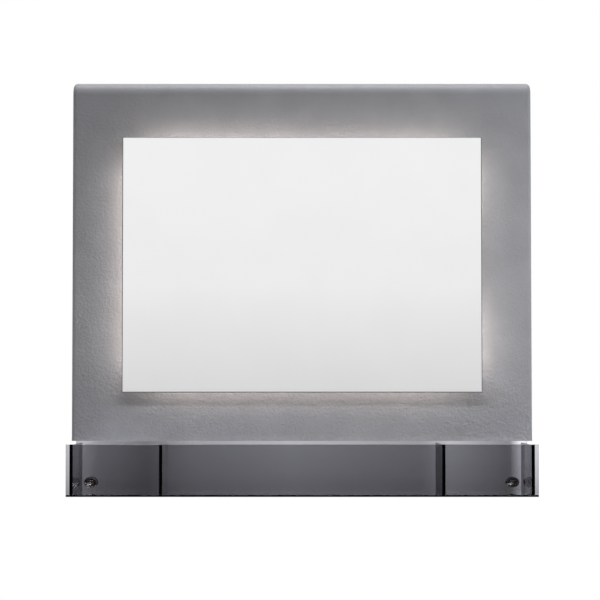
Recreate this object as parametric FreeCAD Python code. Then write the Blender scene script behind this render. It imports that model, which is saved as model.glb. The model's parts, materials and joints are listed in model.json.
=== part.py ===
"""Backlit wall mirror with a smoked acrylic shelf, in millimetres.

+X is the viewer's right, the front faces -Y, +Z is up and the wall is the plane y = 0.
Heights are worked out from the underside of the shelf, and every piece is then lowered so that
the origin is on the wall, midway between the two keyholes that the object hangs from.
"""
import FreeCAD, Part
import math
import os

Vector = FreeCAD.Vector

# Moulded panel
PANEL_SIDE_BORDER = 64.0
PANEL_TOP_BORDER = 73.0
PANEL_FOOT_BORDER = 58.2
PANEL_DEPTH = 52.0
PANEL_WALL = 3.0
TOP_ROLL = 15.0
FLARE_RADIUS = 16.0
FLARE_HEIGHT = 8.0
SIDE_ROUND = 5.0
RIB_THICKNESS = 2.0
RIB_HEIGHT = 8.0
RIB_SPACING = 92.0

# Window behind the mirror
WINDOW_INSET = 8.0
WINDOW_CORNER = 10.0
LIP_DEPTH = 20.0
LIP_ROUND = 4.0

# Mirror and how it hangs
MIRROR_WIDTH = 429.0
MIRROR_HEIGHT = 305.0
MIRROR_THICKNESS = 4.0
MIRROR_ARRIS = 1.0
MIRROR_STANDOFF = 24.0
BACKING_SHEET = 1.5
BACKING_INSET = 15.0
BACKING_RIM = 6.0
BACKING_CORNER = 6.0
PAD_THICKNESS = 3.5
PAD_WIDTH = 20.0
PAD_LENGTH = 200.0
PAD_OUTER_INSET = 33.0
PAD_INNER_COLUMN = 60.0
MIRROR_LIFT = 12.0
POST_SIDE_INSET = 88.0
POST_TOP_INSET = 34.0
POST_FOOT_INSET = 46.0
POST_RADIUS = 5.0
POST_THREAD_RADIUS = 2.5
POST_THREAD_LENGTH = 5.0
POST_NUT_RADIUS = 4.5
POST_NUT_HEIGHT = 4.0
NECK_RADIUS = 2.5
HEAD_RADIUS = 4.5
HEAD_HEIGHT = 2.2
HEAD_CLEARANCE = 0.5
SEAT_CLEARANCE = 0.3

# Lamp tray
TRAY_SHEET = 1.0
TRAY_CLEARANCE = 0.5
TRAY_FLANGE = 14.0
TRAY_BEND = 3.0
TRAY_WALL_GAP = 9.0
BOSS_HEIGHT = 12.0
BOSS_RADIUS = 4.0
TRAY_SCREW_SPACING_X = 150.0
TRAY_SCREW_SPACING_Z = 184.0

# Small screws
SCREW_RADIUS = 1.75
SCREW_LENGTH = 9.5
SHEET_SCREW_TIP = 2.0
SCREW_HEAD_RADIUS = 3.5
SCREW_HEAD_HEIGHT = 2.4
SCREW_HEAD_BREAK = 0.8
THREAD_CLEARANCE = 0.05
HOLE_CLEARANCE = 0.25

# Hangers
KEYHOLE_INSET = 34.5
KEYHOLE_ABOVE_WINDOW = 35.0
KEYHOLE_RADIUS = 5.0
KEYHOLE_SLOT_WIDTH = 5.4
KEYHOLE_TRAVEL = 10.0
HANGER_WIDTH = 32.0
HANGER_SHEET = 2.0
HANGER_TAB = 38.0
HANGER_TOP_MARGIN = 10.0
HANGER_OFFSET_RISE = 10.0
RIVET_RADIUS = 2.0
RIVET_HEAD_RADIUS = 4.0
RIVET_HEAD_HEIGHT = 1.2
RIVET_TAIL_RADIUS = 3.0
RIVET_EDGE = 10.0

# Lamps, holders and brackets
LAMP_SIDE_INSET = 45.0
LAMP_SPREAD_SHARE = 0.64
LAMP_RAISE_SHARE = 0.05
GLASS_RADIUS = 12.5
GLASS_LENGTH = 42.0
GLASS_DOME_HEIGHT = 5.0
GLASS_NECK_RADIUS = 6.0
GLASS_NECK_LENGTH = 8.0
CAP_RADIUS = 6.8
CAP_LENGTH = 22.0
CAP_TIP_RADIUS = 3.0
CAP_TIP_LENGTH = 2.0
HOLDER_RADIUS = 13.5
HOLDER_LENGTH = 42.0
HOLDER_WAIST_CUT = 1.2
HOLDER_COLLAR = 9.0
HOLDER_BORE_CLEARANCE = 0.5
NIPPLE_RADIUS = 5.0
NIPPLE_LENGTH = 8.0
HOLDER_NUT_RADIUS = 8.0
HOLDER_NUT_HEIGHT = 3.0
BRACKET_SHEET = 1.5
BRACKET_WIDTH = 14.0
EAR_MARGIN = 3.0
HOLDER_FLOOR_GAP = 1.0
BRACKET_SCREW_INSET = 8.0

# Wiring
LEAD_RADIUS = 1.2
LEAD_BEND = 18.0
FEED_OFFSET_X = 9.4
FEED_OFFSET_Y = 6.6
JUMPER_OFFSET = 11.0
BLOCK_WIDTH = 36.0
BLOCK_DEPTH = 16.0
BLOCK_BASE_DEPTH = 5.0
POLE_PITCH = 10.0
POLE_WIDTH = 8.0
BLOCK_SCREW_LENGTH = 6.0
BLOCK_SCREW_SPACING = 18.0
CLAMP_SCREW_RADIUS = 1.6
CLAMP_SCREW_LENGTH = 3.0
CLAMP_SCREW_INSET = 9.0
WIRE_PAST_CLAMP = 3.0
EARTH_REACH = 60.0
EARTH_BEND = 5.0
EARTH_TAG_THICKNESS = 0.8
EARTH_TAG_RADIUS = 5.0
EARTH_TAG_TAIL = 11.0
CABLE_PLATE_WIDTH = 64.0
CABLE_PLATE_HEIGHT = 48.0
CABLE_PLATE_SHEET = 1.0
CABLE_PLATE_LAP = 7.0
CABLE_PLATE_X = 60.0
CABLE_PLATE_DROP = 70.0
CABLE_RADIUS = 4.0
GROMMET_HOLE_RADIUS = 6.0
GROMMET_FLANGE_RADIUS = 8.5
GROMMET_FLANGE_HEIGHT = 2.0

# Acrylic shelf
SHELF_HEIGHT = 61.8
SHELF_INNER_DEPTH = 90.0
SHELF_SHEET = 4.0
SHELF_BOTTOM_SHEET = 2.5
SHELF_END_OVERHANG = 4.0
SHELF_END_BAY = 101.5
SHELF_TO_PANEL = 3.0
SHELF_WALL_GAP = 3.0
SHELF_EDGE_BREAK = 0.5
TONGUE_HEIGHT = 33.0
TONGUE_INSET = 13.5
TONGUE_CLEARANCE = 0.4
SHELF_BOSS_RADIUS = 5.0
SHELF_BOSS_RISE = 19.0
SHELF_BOSS_END_INSET = 78.5
SHELF_BOSS_SPACING = 130.0
GUSSET_DEPTH = 30.0

# Wall screws of the shelf and their caps
WALL_SCREW_HOLE_RADIUS = 2.75
WALL_SCREW_FROM_END = 11.0
WALL_SCREW_RISE = 13.0
SPACER_RADIUS = 6.5
WASHER_RADIUS = 6.0
WASHER_HEIGHT = 1.0
CAP_FLANGE_RADIUS = 6.5
CAP_FLANGE_HEIGHT = 1.6
CAP_BARREL_RADIUS = 5.6
CAP_BARREL_LENGTH = 8.0
CAP_DOME_HEIGHT = 4.6
CAP_WALL = 1.2
CAP_STRETCH = 1.32

# Depths, from the wall towards the viewer
panel_face = -PANEL_DEPTH
face_back = panel_face + PANEL_WALL
lip_end = panel_face + LIP_DEPTH
flange_front = face_back + BOSS_HEIGHT
flange_back = flange_front + TRAY_SHEET
floor_back = -TRAY_WALL_GAP
floor_front = floor_back - TRAY_SHEET
backing_rear = panel_face - MIRROR_STANDOFF
backing_front = backing_rear - BACKING_SHEET
glass_rear = backing_front - PAD_THICKNESS
glass_front = glass_rear - MIRROR_THICKNESS
shelf_back_rear = -SHELF_WALL_GAP
shelf_back_front = shelf_back_rear - SHELF_SHEET
shelf_front_rear = shelf_back_front - SHELF_INNER_DEPTH
shelf_front_face = shelf_front_rear - SHELF_SHEET

# Heights, from the underside of the shelf
panel_foot = SHELF_HEIGHT + SHELF_TO_PANEL
mirror_foot = panel_foot + PANEL_FOOT_BORDER
mirror_top = mirror_foot + MIRROR_HEIGHT
panel_top = mirror_top + PANEL_TOP_BORDER
mirror_middle = (mirror_foot + mirror_top) / 2
window_top = mirror_top - WINDOW_INSET
hang_line = window_top + KEYHOLE_ABOVE_WINDOW
lamp_middle = mirror_middle + LAMP_RAISE_SHARE * MIRROR_HEIGHT
shelf_boss_height = panel_foot + SHELF_BOSS_RISE

# Distances from the middle, sideways
mirror_half = MIRROR_WIDTH / 2
panel_half = mirror_half + PANEL_SIDE_BORDER
post_x = mirror_half - POST_SIDE_INSET
keyhole_x = mirror_half - KEYHOLE_INSET
lamp_x = mirror_half - LAMP_SIDE_INSET
pad_x = mirror_half - PAD_OUTER_INSET
end_outer = panel_half - SHELF_END_OVERHANG
end_inner = end_outer - SHELF_SHEET
divider_outer = end_inner - SHELF_END_BAY
divider_inner = divider_outer - SHELF_SHEET
wall_screw_x = end_inner - WALL_SCREW_FROM_END
boss_outer_x = panel_half - SHELF_BOSS_END_INSET
boss_inner_x = boss_outer_x - SHELF_BOSS_SPACING
shelf_boss_columns = (-boss_outer_x, -boss_inner_x, boss_inner_x, boss_outer_x)

# Widths and heights of the window and what fits round it
window_width = MIRROR_WIDTH - 2 * WINDOW_INSET
window_height = MIRROR_HEIGHT - 2 * WINDOW_INSET
lip_grow = 2 * PANEL_WALL
tray_inner_grow = lip_grow + 2 * TRAY_CLEARANCE
tray_outer_grow = tray_inner_grow + 2 * TRAY_SHEET
flange_grow = tray_outer_grow + 2 * TRAY_FLANGE
screw_line_grow = tray_outer_grow + TRAY_FLANGE
lamp_axis = floor_front - BRACKET_SHEET - HOLDER_FLOOR_GAP - HOLDER_RADIUS
lead_depth = lamp_axis + FEED_OFFSET_Y
clamp_depth = lead_depth - LEAD_RADIUS - THREAD_CLEARANCE
clamp_x = BLOCK_WIDTH / 2 - CLAMP_SCREW_INSET
wire_entry = CLAMP_SCREW_INSET + WIRE_PAST_CLAMP
lamp_row = LAMP_SPREAD_SHARE * MIRROR_HEIGHT / 2
holder_seat = lamp_row - GLASS_LENGTH / 2 - HOLDER_LENGTH
ear_inner = holder_seat - BRACKET_SHEET

SIDES = {"left": -1, "right": 1}
ROWS = {"lower": -1, "upper": 1}
POLES = (-1, 0, 1)


def block(x0, x1, y0, y1, z0, z1):
    """A plain box between two corners."""
    corner = Vector(min(x0, x1), min(y0, y1), min(z0, z1))
    return Part.makeBox(abs(x1 - x0), abs(y1 - y0), abs(z1 - z0), corner)


def disc(radius, x, z, y0, y1):
    """A round bar that runs front to back, between two depths."""
    return Part.makeCylinder(radius, abs(y1 - y0), Vector(x, min(y0, y1), z), Vector(0, 1, 0))


def lies_along(edge, axis):
    """Whether an edge is straight and parallel to an axis."""
    if not isinstance(edge.Curve, Part.Line):
        return False
    return abs(abs(edge.Curve.Direction.dot(axis)) - 1) < 1e-6


def edges_at_depth(shape, depth):
    """The edges that lie wholly in one plane parallel to the wall."""
    return [
        edge
        for edge in shape.Edges
        if abs(edge.BoundBox.YMin - depth) < 1e-4 and abs(edge.BoundBox.YMax - depth) < 1e-4
    ]


def soft_plate(width, height, corner, y0, y1, middle):
    """A plate parallel to the wall with rounded corners, centred at x = 0 and a middle height."""
    plate = block(-width / 2, width / 2, y0, y1, middle - height / 2, middle + height / 2)
    return plate.makeFillet(corner, [e for e in plate.Edges if lies_along(e, Vector(0, 1, 0))])


def window_plate(grow, y0, y1):
    """A plate with the window's outline, grown evenly on every side."""
    corner = WINDOW_CORNER + grow / 2
    return soft_plate(window_width + grow, window_height + grow, corner, y0, y1, mirror_middle)


def pan_screw(x, z, seat, towards_wall, length=SCREW_LENGTH):
    """A pan-head screw whose head rests on a seat and points to the wall or to the viewer."""
    side = 1 if towards_wall else -1
    head = disc(SCREW_HEAD_RADIUS, x, z, seat, seat + side * SCREW_HEAD_HEIGHT)
    rim = edges_at_depth(head, seat + side * SCREW_HEAD_HEIGHT)
    head = head.makeChamfer(SCREW_HEAD_BREAK, rim)
    shank = disc(SCREW_RADIUS, x, z, seat, seat - side * length)
    return head.fuse(shank).removeSplitter()


def hex_nut(x, z, across_corners_radius, bore_radius, y0, y1):
    """A hexagon nut on a thread that runs front to back."""
    corners = []
    for step in range(7):
        angle = math.radians(60 * step)
        corners.append(
            Vector(
                x + across_corners_radius * math.cos(angle), y0, z + across_corners_radius * math.sin(angle)
            )
        )
    body = Part.Face(Part.makePolygon(corners)).extrude(Vector(0, y1 - y0, 0))
    return body.cut(disc(bore_radius, x, z, y0, y1))


def keyhole(x, z, entry_radius, slot_width, travel, y0, y1):
    """The cutter of a keyhole: a round entry at (x, z) with a slot above it."""
    slot_radius = slot_width / 2
    entry = disc(entry_radius, x, z, y0, y1)
    slot = block(x - slot_radius, x + slot_radius, y0, y1, z, z + travel)
    return entry.fuse([slot, disc(slot_radius, x, z + travel, y0, y1)]).removeSplitter()


def lead(points, bend):
    """An insulated wire along straight runs joined by tangent arcs."""
    edges = []
    start = points[0]
    for before, corner, after in zip(points, points[1:], points[2:]):
        inward = (before - corner).normalize()
        outward = (after - corner).normalize()
        half_angle = inward.getAngle(outward) / 2
        reach = bend / math.tan(half_angle)
        arc_start = corner + inward * reach
        arc_end = corner + outward * reach
        to_centre = (inward + outward).normalize()
        centre = corner + to_centre * (bend / math.sin(half_angle))
        arc_middle = centre - to_centre * bend
        edges.append(Part.LineSegment(start, arc_start).toShape())
        edges.append(Part.Arc(arc_start, arc_middle, arc_end).toShape())
        start = arc_end
    edges.append(Part.LineSegment(start, points[-1]).toShape())
    path = Part.Wire(edges)
    ring = Part.Wire([Part.Circle(points[0], points[1] - points[0], LEAD_RADIUS).toShape()])
    return path.makePipeShell([ring], True, False)


def moulded_form(inset):
    """The panel's form, shrunk evenly by an inset: rolled top, rounded ends, foot flared forward."""
    half = panel_half - inset
    face = panel_face + inset
    foot = panel_foot + inset
    top = panel_top - inset
    top_roll = TOP_ROLL - inset
    flare_radius = FLARE_RADIUS + inset
    bow = math.sqrt(0.5)
    roll_centre = Vector(-half, face + top_roll, top - top_roll)
    flare_centre = Vector(-half, panel_face - FLARE_RADIUS, panel_foot + FLARE_HEIGHT)
    flare_turn = math.asin((FLARE_HEIGHT - inset) / flare_radius)
    back_top = Vector(-half, 0, top)
    roll_start = roll_centre + Vector(0, 0, top_roll)
    roll_middle = roll_centre + Vector(0, -bow, bow) * top_roll
    roll_end = roll_centre + Vector(0, -top_roll, 0)
    flare_points = [
        flare_centre + Vector(0, math.cos(angle), -math.sin(angle)) * flare_radius
        for angle in (0, flare_turn / 2, flare_turn)
    ]
    back_foot = Vector(-half, 0, foot)
    section = Part.Wire(
        [
            Part.LineSegment(back_top, roll_start).toShape(),
            Part.Arc(roll_start, roll_middle, roll_end).toShape(),
            Part.LineSegment(roll_end, flare_points[0]).toShape(),
            Part.Arc(*flare_points).toShape(),
            Part.LineSegment(flare_points[-1], back_foot).toShape(),
            Part.LineSegment(back_foot, back_top).toShape(),
        ]
    )
    form = Part.Face(section).extrude(Vector(2 * half, 0, 0))
    end_edges = [
        edge
        for edge in form.Edges
        if edge.BoundBox.XLength < 1e-6
        and edge.BoundBox.YMin < -1e-6
        and edge.BoundBox.ZMax > foot + 1e-6
    ]
    return form.makeFillet(SIDE_ROUND - inset, end_edges)


def tray_screw_places():
    """Where the tray is screwed to the panel: three above, three below and two at each side."""
    across = (window_width + screw_line_grow) / 2
    up = (window_height + screw_line_grow) / 2
    places = []
    for side in (-1, 1):
        for column in (-1, 0, 1):
            places.append((column * TRAY_SCREW_SPACING_X, mirror_middle + side * up))
        for row in (-0.5, 0.5):
            places.append((side * across, mirror_middle + row * TRAY_SCREW_SPACING_Z))
    return places


def evenly_spaced(length, spacing):
    """Offsets at one spacing, centred on zero, that fit within a length."""
    gaps = int(length / spacing)
    return [(step - gaps / 2) * spacing for step in range(gaps + 1)]


def panel_ribs():
    """Low stiffening ribs on the back of the face, between the window's lip and the outer walls."""
    rib_back = face_back + RIB_HEIGHT
    half = RIB_THICKNESS / 2
    lip_middle = PANEL_WALL / 2
    lip_x = window_width / 2 + lip_middle
    lip_z = window_height / 2 + lip_middle
    ribs = []
    for x in evenly_spaced(window_width - 2 * WINDOW_CORNER, RIB_SPACING):
        upper = (mirror_middle + lip_z, panel_top)
        lower = (panel_foot, mirror_middle - lip_z)
        for low, high in (upper, lower):
            ribs.append(block(x - half, x + half, face_back, rib_back, low, high))
    for offset in evenly_spaced(window_height - 2 * WINDOW_CORNER, RIB_SPACING):
        z = mirror_middle + offset
        for side in SIDES.values():
            outer = side * panel_half
            ribs.append(block(side * lip_x, outer, face_back, rib_back, z - half, z + half))
    within_walls = moulded_form(PANEL_WALL / 2)
    return [rib.common(within_walls) for rib in ribs]


def front_panel():
    """The ABS moulding: an open-backed shell with a lipped window, ribs and screw bosses."""
    shell = moulded_form(0).cut(moulded_form(PANEL_WALL))
    bosses = []
    pilots = []
    for x, z in tray_screw_places():
        bosses.append(disc(BOSS_RADIUS, x, z, face_back, flange_front))
        pilot_end = flange_back - SCREW_LENGTH - THREAD_CLEARANCE
        pilots.append(disc(SCREW_RADIUS + THREAD_CLEARANCE, x, z, pilot_end, flange_front))
    for x in shelf_boss_columns:
        bosses.append(disc(SHELF_BOSS_RADIUS, x, shelf_boss_height, face_back, shelf_back_front))
        gusset_low = panel_foot + PANEL_WALL
        half = RIB_THICKNESS / 2
        bosses.append(
            block(x - half, x + half, face_back, face_back + GUSSET_DEPTH, gusset_low, shelf_boss_height)
        )
        pilot_end = shelf_back_rear - SCREW_LENGTH - THREAD_CLEARANCE
        pilots.append(
            disc(SCREW_RADIUS + THREAD_CLEARANCE, x, shelf_boss_height, pilot_end, shelf_back_front)
        )
    lip = window_plate(lip_grow, face_back, lip_end)
    shell = shell.fuse([lip] + bosses + panel_ribs())
    window = window_plate(0, panel_face, lip_end)
    notch_half = panel_half - PANEL_WALL
    notch_front = shelf_back_front - TONGUE_CLEARANCE
    notch = block(-notch_half, notch_half, notch_front, 0, panel_foot, panel_foot + PANEL_WALL)
    shell = shell.cut([window, notch] + pilots).removeSplitter()
    lip_edges = []
    for edge in edges_at_depth(shell, panel_face):
        middle = edge.BoundBox.Center
        beside = abs(middle.x) < window_width / 2 + PANEL_WALL
        level = abs(middle.z - mirror_middle) < window_height / 2 + PANEL_WALL
        if beside and level:
            lip_edges.append(edge)
    return shell.makeFillet(LIP_ROUND, lip_edges)


def post_places():
    """The four posts by name, at the height where the mirror hangs on them."""
    heights = {"lower": mirror_foot + POST_FOOT_INSET, "upper": mirror_top - POST_TOP_INSET}
    places = {}
    for row, z in heights.items():
        for side, sign in SIDES.items():
            places[row + "_" + side] = (sign * post_x, z)
    return places


def bracket_screw_places():
    """Two screws in each lamp bracket's base."""
    offset = ear_inner - BRACKET_SCREW_INSET
    return [
        (side * lamp_x, lamp_middle + row * offset) for side in SIDES.values() for row in ROWS.values()
    ]


def rivet_places():
    """Two rivets in the lower tab of each hanger."""
    low = window_top - HANGER_TAB + RIVET_EDGE
    high = window_top - RIVET_EDGE
    return [(side * keyhole_x, z) for side in SIDES.values() for z in (low, high)]


def block_screw_places():
    """The terminal block's two fixing screws, in line with its middle pole."""
    return [(side * BLOCK_SCREW_SPACING / 2, lamp_middle) for side in SIDES.values()]


def cable_plate_screw_places():
    """Two screws at the ends of the plate that carries the cable grommet."""
    across = (CABLE_PLATE_WIDTH - CABLE_PLATE_LAP) / 2
    return [(CABLE_PLATE_X + side * across, lamp_middle - CABLE_PLATE_DROP) for side in SIDES.values()]


def lamp_tray():
    """The pressed steel pan behind the window, with a flange that is screwed to the panel."""
    outer = window_plate(tray_outer_grow, flange_front, floor_back)
    outer = outer.makeFillet(TRAY_BEND + TRAY_SHEET, edges_at_depth(outer, floor_back))
    inner = window_plate(tray_inner_grow, flange_front, floor_front)
    inner = inner.makeFillet(TRAY_BEND, edges_at_depth(inner, floor_front))
    flange = window_plate(flange_grow, flange_front, flange_back)
    tray = outer.fuse(flange).cut(inner).removeSplitter()
    hole = SCREW_RADIUS + HOLE_CLEARANCE
    holes = [disc(hole, x, z, flange_front, flange_back) for x, z in tray_screw_places()]
    thread_hole = POST_THREAD_RADIUS + HOLE_CLEARANCE
    holes += [disc(thread_hole, x, z, floor_front, floor_back) for x, z in post_places().values()]
    pilot = SCREW_RADIUS + THREAD_CLEARANCE
    threaded = bracket_screw_places() + cable_plate_screw_places() + [(-EARTH_REACH, lamp_middle)]
    holes += [disc(pilot, x, z, floor_front, floor_back) for x, z in threaded]
    holes += [disc(hole, x, z, floor_front, floor_back) for x, z in block_screw_places()]
    rivet = RIVET_RADIUS + THREAD_CLEARANCE
    holes += [disc(rivet, x, z, floor_front, floor_back) for x, z in rivet_places()]
    opening_half_width = CABLE_PLATE_WIDTH / 2 - CABLE_PLATE_LAP
    opening_half_height = CABLE_PLATE_HEIGHT / 2 - CABLE_PLATE_LAP
    cable_z = lamp_middle - CABLE_PLATE_DROP
    holes.append(
        block(
            CABLE_PLATE_X - opening_half_width,
            CABLE_PLATE_X + opening_half_width,
            floor_front,
            floor_back,
            cable_z - opening_half_height,
            cable_z + opening_half_height,
        )
    )
    return tray.cut(holes)


def hanger(side):
    """A steel strap, riveted to the tray, whose offset tab lies on the wall and has a keyhole."""
    x = side * keyhole_x
    low = window_top - HANGER_TAB
    bend = window_top
    bend_end = bend + HANGER_OFFSET_RISE
    top = hang_line + KEYHOLE_TRAVEL + KEYHOLE_SLOT_WIDTH / 2 + HANGER_TOP_MARGIN
    outline = [
        (floor_back, low),
        (floor_back, bend),
        (-HANGER_SHEET, bend_end),
        (-HANGER_SHEET, top),
        (0, top),
        (0, bend_end),
        (floor_back + HANGER_SHEET, bend),
        (floor_back + HANGER_SHEET, low),
        (floor_back, low),
    ]
    left = x - HANGER_WIDTH / 2
    face = Part.Face(Part.makePolygon([Vector(left, y, z) for y, z in outline]))
    strap = face.extrude(Vector(HANGER_WIDTH, 0, 0))
    cutters = [keyhole(x, hang_line, KEYHOLE_RADIUS, KEYHOLE_SLOT_WIDTH, KEYHOLE_TRAVEL, -HANGER_SHEET, 0)]
    for rivet_x, rivet_z in rivet_places():
        cutters.append(
            disc(RIVET_RADIUS + THREAD_CLEARANCE, rivet_x, rivet_z, floor_back, floor_back + HANGER_SHEET)
        )
    return strap.cut(cutters)


def hanger_rivet(x, z):
    """A rivet with a head on the strap and a set end inside the tray."""
    strap_back = floor_back + HANGER_SHEET
    shank = disc(RIVET_RADIUS, x, z, floor_front, strap_back)
    head = disc(RIVET_HEAD_RADIUS, x, z, strap_back, strap_back + RIVET_HEAD_HEIGHT)
    tail = disc(RIVET_TAIL_RADIUS, x, z, floor_front - RIVET_HEAD_HEIGHT, floor_front)
    return shank.fuse([head, tail]).removeSplitter()


def mirror_post(x, z):
    """A turned post: a threaded end through the tray, a shoulder, a neck and a head that holds a keyhole."""
    shoulder = backing_rear + SEAT_CLEARANCE
    head_rear = backing_front - HEAD_CLEARANCE
    body = disc(POST_RADIUS, x, z, floor_front, shoulder)
    thread = disc(POST_THREAD_RADIUS, x, z, floor_front, floor_back + POST_THREAD_LENGTH)
    neck = disc(NECK_RADIUS, x, z, shoulder, head_rear)
    head = disc(HEAD_RADIUS, x, z, head_rear, head_rear - HEAD_HEIGHT)
    return body.fuse([thread, neck, head]).removeSplitter()


def post_nut(x, z):
    """The nut that clamps a post to the tray from behind."""
    bore = POST_THREAD_RADIUS + THREAD_CLEARANCE
    return hex_nut(x, z, POST_NUT_RADIUS, bore, floor_back, floor_back + POST_NUT_HEIGHT)


def mirror_backing():
    """The enamelled plate behind the glass, with a turned rim and four keyholes."""
    width = MIRROR_WIDTH - 2 * BACKING_INSET
    height = MIRROR_HEIGHT - 2 * BACKING_INSET
    rim_rear = backing_rear + BACKING_RIM
    plate = soft_plate(width, height, BACKING_CORNER, backing_front, rim_rear, mirror_middle)
    plate = plate.makeFillet(BACKING_SHEET, edges_at_depth(plate, backing_front))
    inner_width = width - 2 * BACKING_SHEET
    inner_height = height - 2 * BACKING_SHEET
    inner_corner = BACKING_CORNER - BACKING_SHEET
    hollow = soft_plate(inner_width, inner_height, inner_corner, backing_rear, rim_rear, mirror_middle)
    entry = HEAD_RADIUS + HEAD_CLEARANCE
    slot = 2 * (NECK_RADIUS + SEAT_CLEARANCE)
    keyholes = [
        keyhole(x, z - MIRROR_LIFT, entry, slot, MIRROR_LIFT, backing_rear, backing_front)
        for x, z in post_places().values()
    ]
    return plate.cut([hollow] + keyholes)


def mirror_glass():
    """Frameless silvered glass with a ground arris round the front."""
    glass = block(-mirror_half, mirror_half, glass_rear, glass_front, mirror_foot, mirror_top)
    return glass.makeChamfer(MIRROR_ARRIS, edges_at_depth(glass, glass_front))


def mirror_pad(x):
    """A strip of adhesive foam between the glass and its backing."""
    half_length = PAD_LENGTH / 2
    return block(
        x - PAD_WIDTH / 2,
        x + PAD_WIDTH / 2,
        backing_front,
        glass_rear,
        mirror_middle - half_length,
        mirror_middle + half_length,
    )


def lamp_bracket(side):
    """A strip on the tray floor with an ear turned up at each end to carry a lampholder."""
    x = side * lamp_x
    half = BRACKET_WIDTH / 2
    top = lamp_axis - NIPPLE_RADIUS - EAR_MARGIN
    base_front = floor_front - BRACKET_SHEET
    low = lamp_middle - holder_seat
    high = lamp_middle + holder_seat
    strip = block(x - half, x + half, floor_front, base_front, low, high)
    ears = []
    cutters = []
    bore = NIPPLE_RADIUS + HOLE_CLEARANCE
    for row in ROWS.values():
        seat = lamp_middle + row * holder_seat
        inner = lamp_middle + row * ear_inner
        ears.append(block(x - half, x + half, base_front, top, inner, seat))
        ear_foot = Vector(x, lamp_axis, min(seat, inner))
        cutters.append(Part.makeCylinder(bore, BRACKET_SHEET, ear_foot, Vector(0, 0, 1)))
    for screw_x, screw_z in bracket_screw_places():
        cutters.append(disc(SCREW_RADIUS + HOLE_CLEARANCE, screw_x, screw_z, floor_front, base_front))
    return strip.fuse(ears).removeSplitter().cut(cutters)


def turned(points):
    """A lamp part turned about +Z from the (radius, height) points of its outline."""
    corners = [Vector(radius, 0, height) for radius, height in points]
    outline = Part.Face(Part.makePolygon(corners + corners[:1]))
    return outline.revolve(Vector(0, 0, 0), Vector(0, 0, 1), 360)


def lampholder():
    """A bakelite holder: a grooved barrel, a bore for the lamp cap and a threaded nipple behind."""
    bore = CAP_RADIUS + HOLDER_BORE_CLEARANCE
    bore_floor = HOLDER_LENGTH - CAP_LENGTH - CAP_TIP_LENGTH
    waist = HOLDER_RADIUS - HOLDER_WAIST_CUT
    waist_low = HOLDER_COLLAR + HOLDER_WAIST_CUT
    waist_high = HOLDER_LENGTH - HOLDER_COLLAR - HOLDER_WAIST_CUT
    return turned(
        [
            (0, -NIPPLE_LENGTH),
            (NIPPLE_RADIUS, -NIPPLE_LENGTH),
            (NIPPLE_RADIUS, 0),
            (HOLDER_RADIUS, 0),
            (HOLDER_RADIUS, HOLDER_COLLAR),
            (waist, waist_low),
            (waist, waist_high),
            (HOLDER_RADIUS, HOLDER_LENGTH - HOLDER_COLLAR),
            (HOLDER_RADIUS, HOLDER_LENGTH),
            (bore, HOLDER_LENGTH),
            (bore, bore_floor),
            (0, bore_floor),
        ]
    )


def holder_nut():
    """The ring nut that clamps a holder's nipple to its bracket."""
    bore = NIPPLE_RADIUS + THREAD_CLEARANCE
    foot = Vector(0, 0, -BRACKET_SHEET - HOLDER_NUT_HEIGHT)
    nut = Part.makeCylinder(HOLDER_NUT_RADIUS, HOLDER_NUT_HEIGHT, foot)
    return nut.cut(Part.makeCylinder(bore, HOLDER_NUT_HEIGHT, foot))


def lamp_cap():
    """The screw cap of a small lamp, with its centre contact on the holder's floor."""
    cap_low = HOLDER_LENGTH - CAP_LENGTH
    return turned(
        [
            (0, cap_low - CAP_TIP_LENGTH),
            (CAP_TIP_RADIUS, cap_low - CAP_TIP_LENGTH),
            (CAP_TIP_RADIUS, cap_low),
            (CAP_RADIUS, cap_low + CAP_TIP_LENGTH),
            (CAP_RADIUS, HOLDER_LENGTH),
            (0, HOLDER_LENGTH),
        ]
    )


def lamp_glass():
    """An opal tubular bulb: a neck that swells to a cylinder with a domed end."""
    base = HOLDER_LENGTH
    swell = base + GLASS_NECK_LENGTH
    crown = base + GLASS_LENGTH
    shoulder = crown - GLASS_DOME_HEIGHT
    tube = turned(
        [
            (0, base),
            (GLASS_NECK_RADIUS, base),
            (GLASS_RADIUS, swell),
            (GLASS_RADIUS, shoulder),
            (0, shoulder),
        ]
    )
    ball_radius = (GLASS_RADIUS**2 + GLASS_DOME_HEIGHT**2) / (2 * GLASS_DOME_HEIGHT)
    ball = Part.makeSphere(ball_radius, Vector(0, 0, crown - ball_radius))
    dome = ball.common(Part.makeCylinder(2 * ball_radius, GLASS_DOME_HEIGHT, Vector(0, 0, shoulder)))
    return tube.fuse(dome).removeSplitter()


def place_on_bracket(shape, side, row):
    """Move a lamp part, built upwards from its seat, to one ear of one bracket."""
    placed = shape.copy()
    if row < 0:
        placed.rotate(Vector(0, 0, 0), Vector(0, 1, 0), 180)
    placed.translate(Vector(side * lamp_x, lamp_axis, lamp_middle + row * holder_seat))
    return placed


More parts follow.
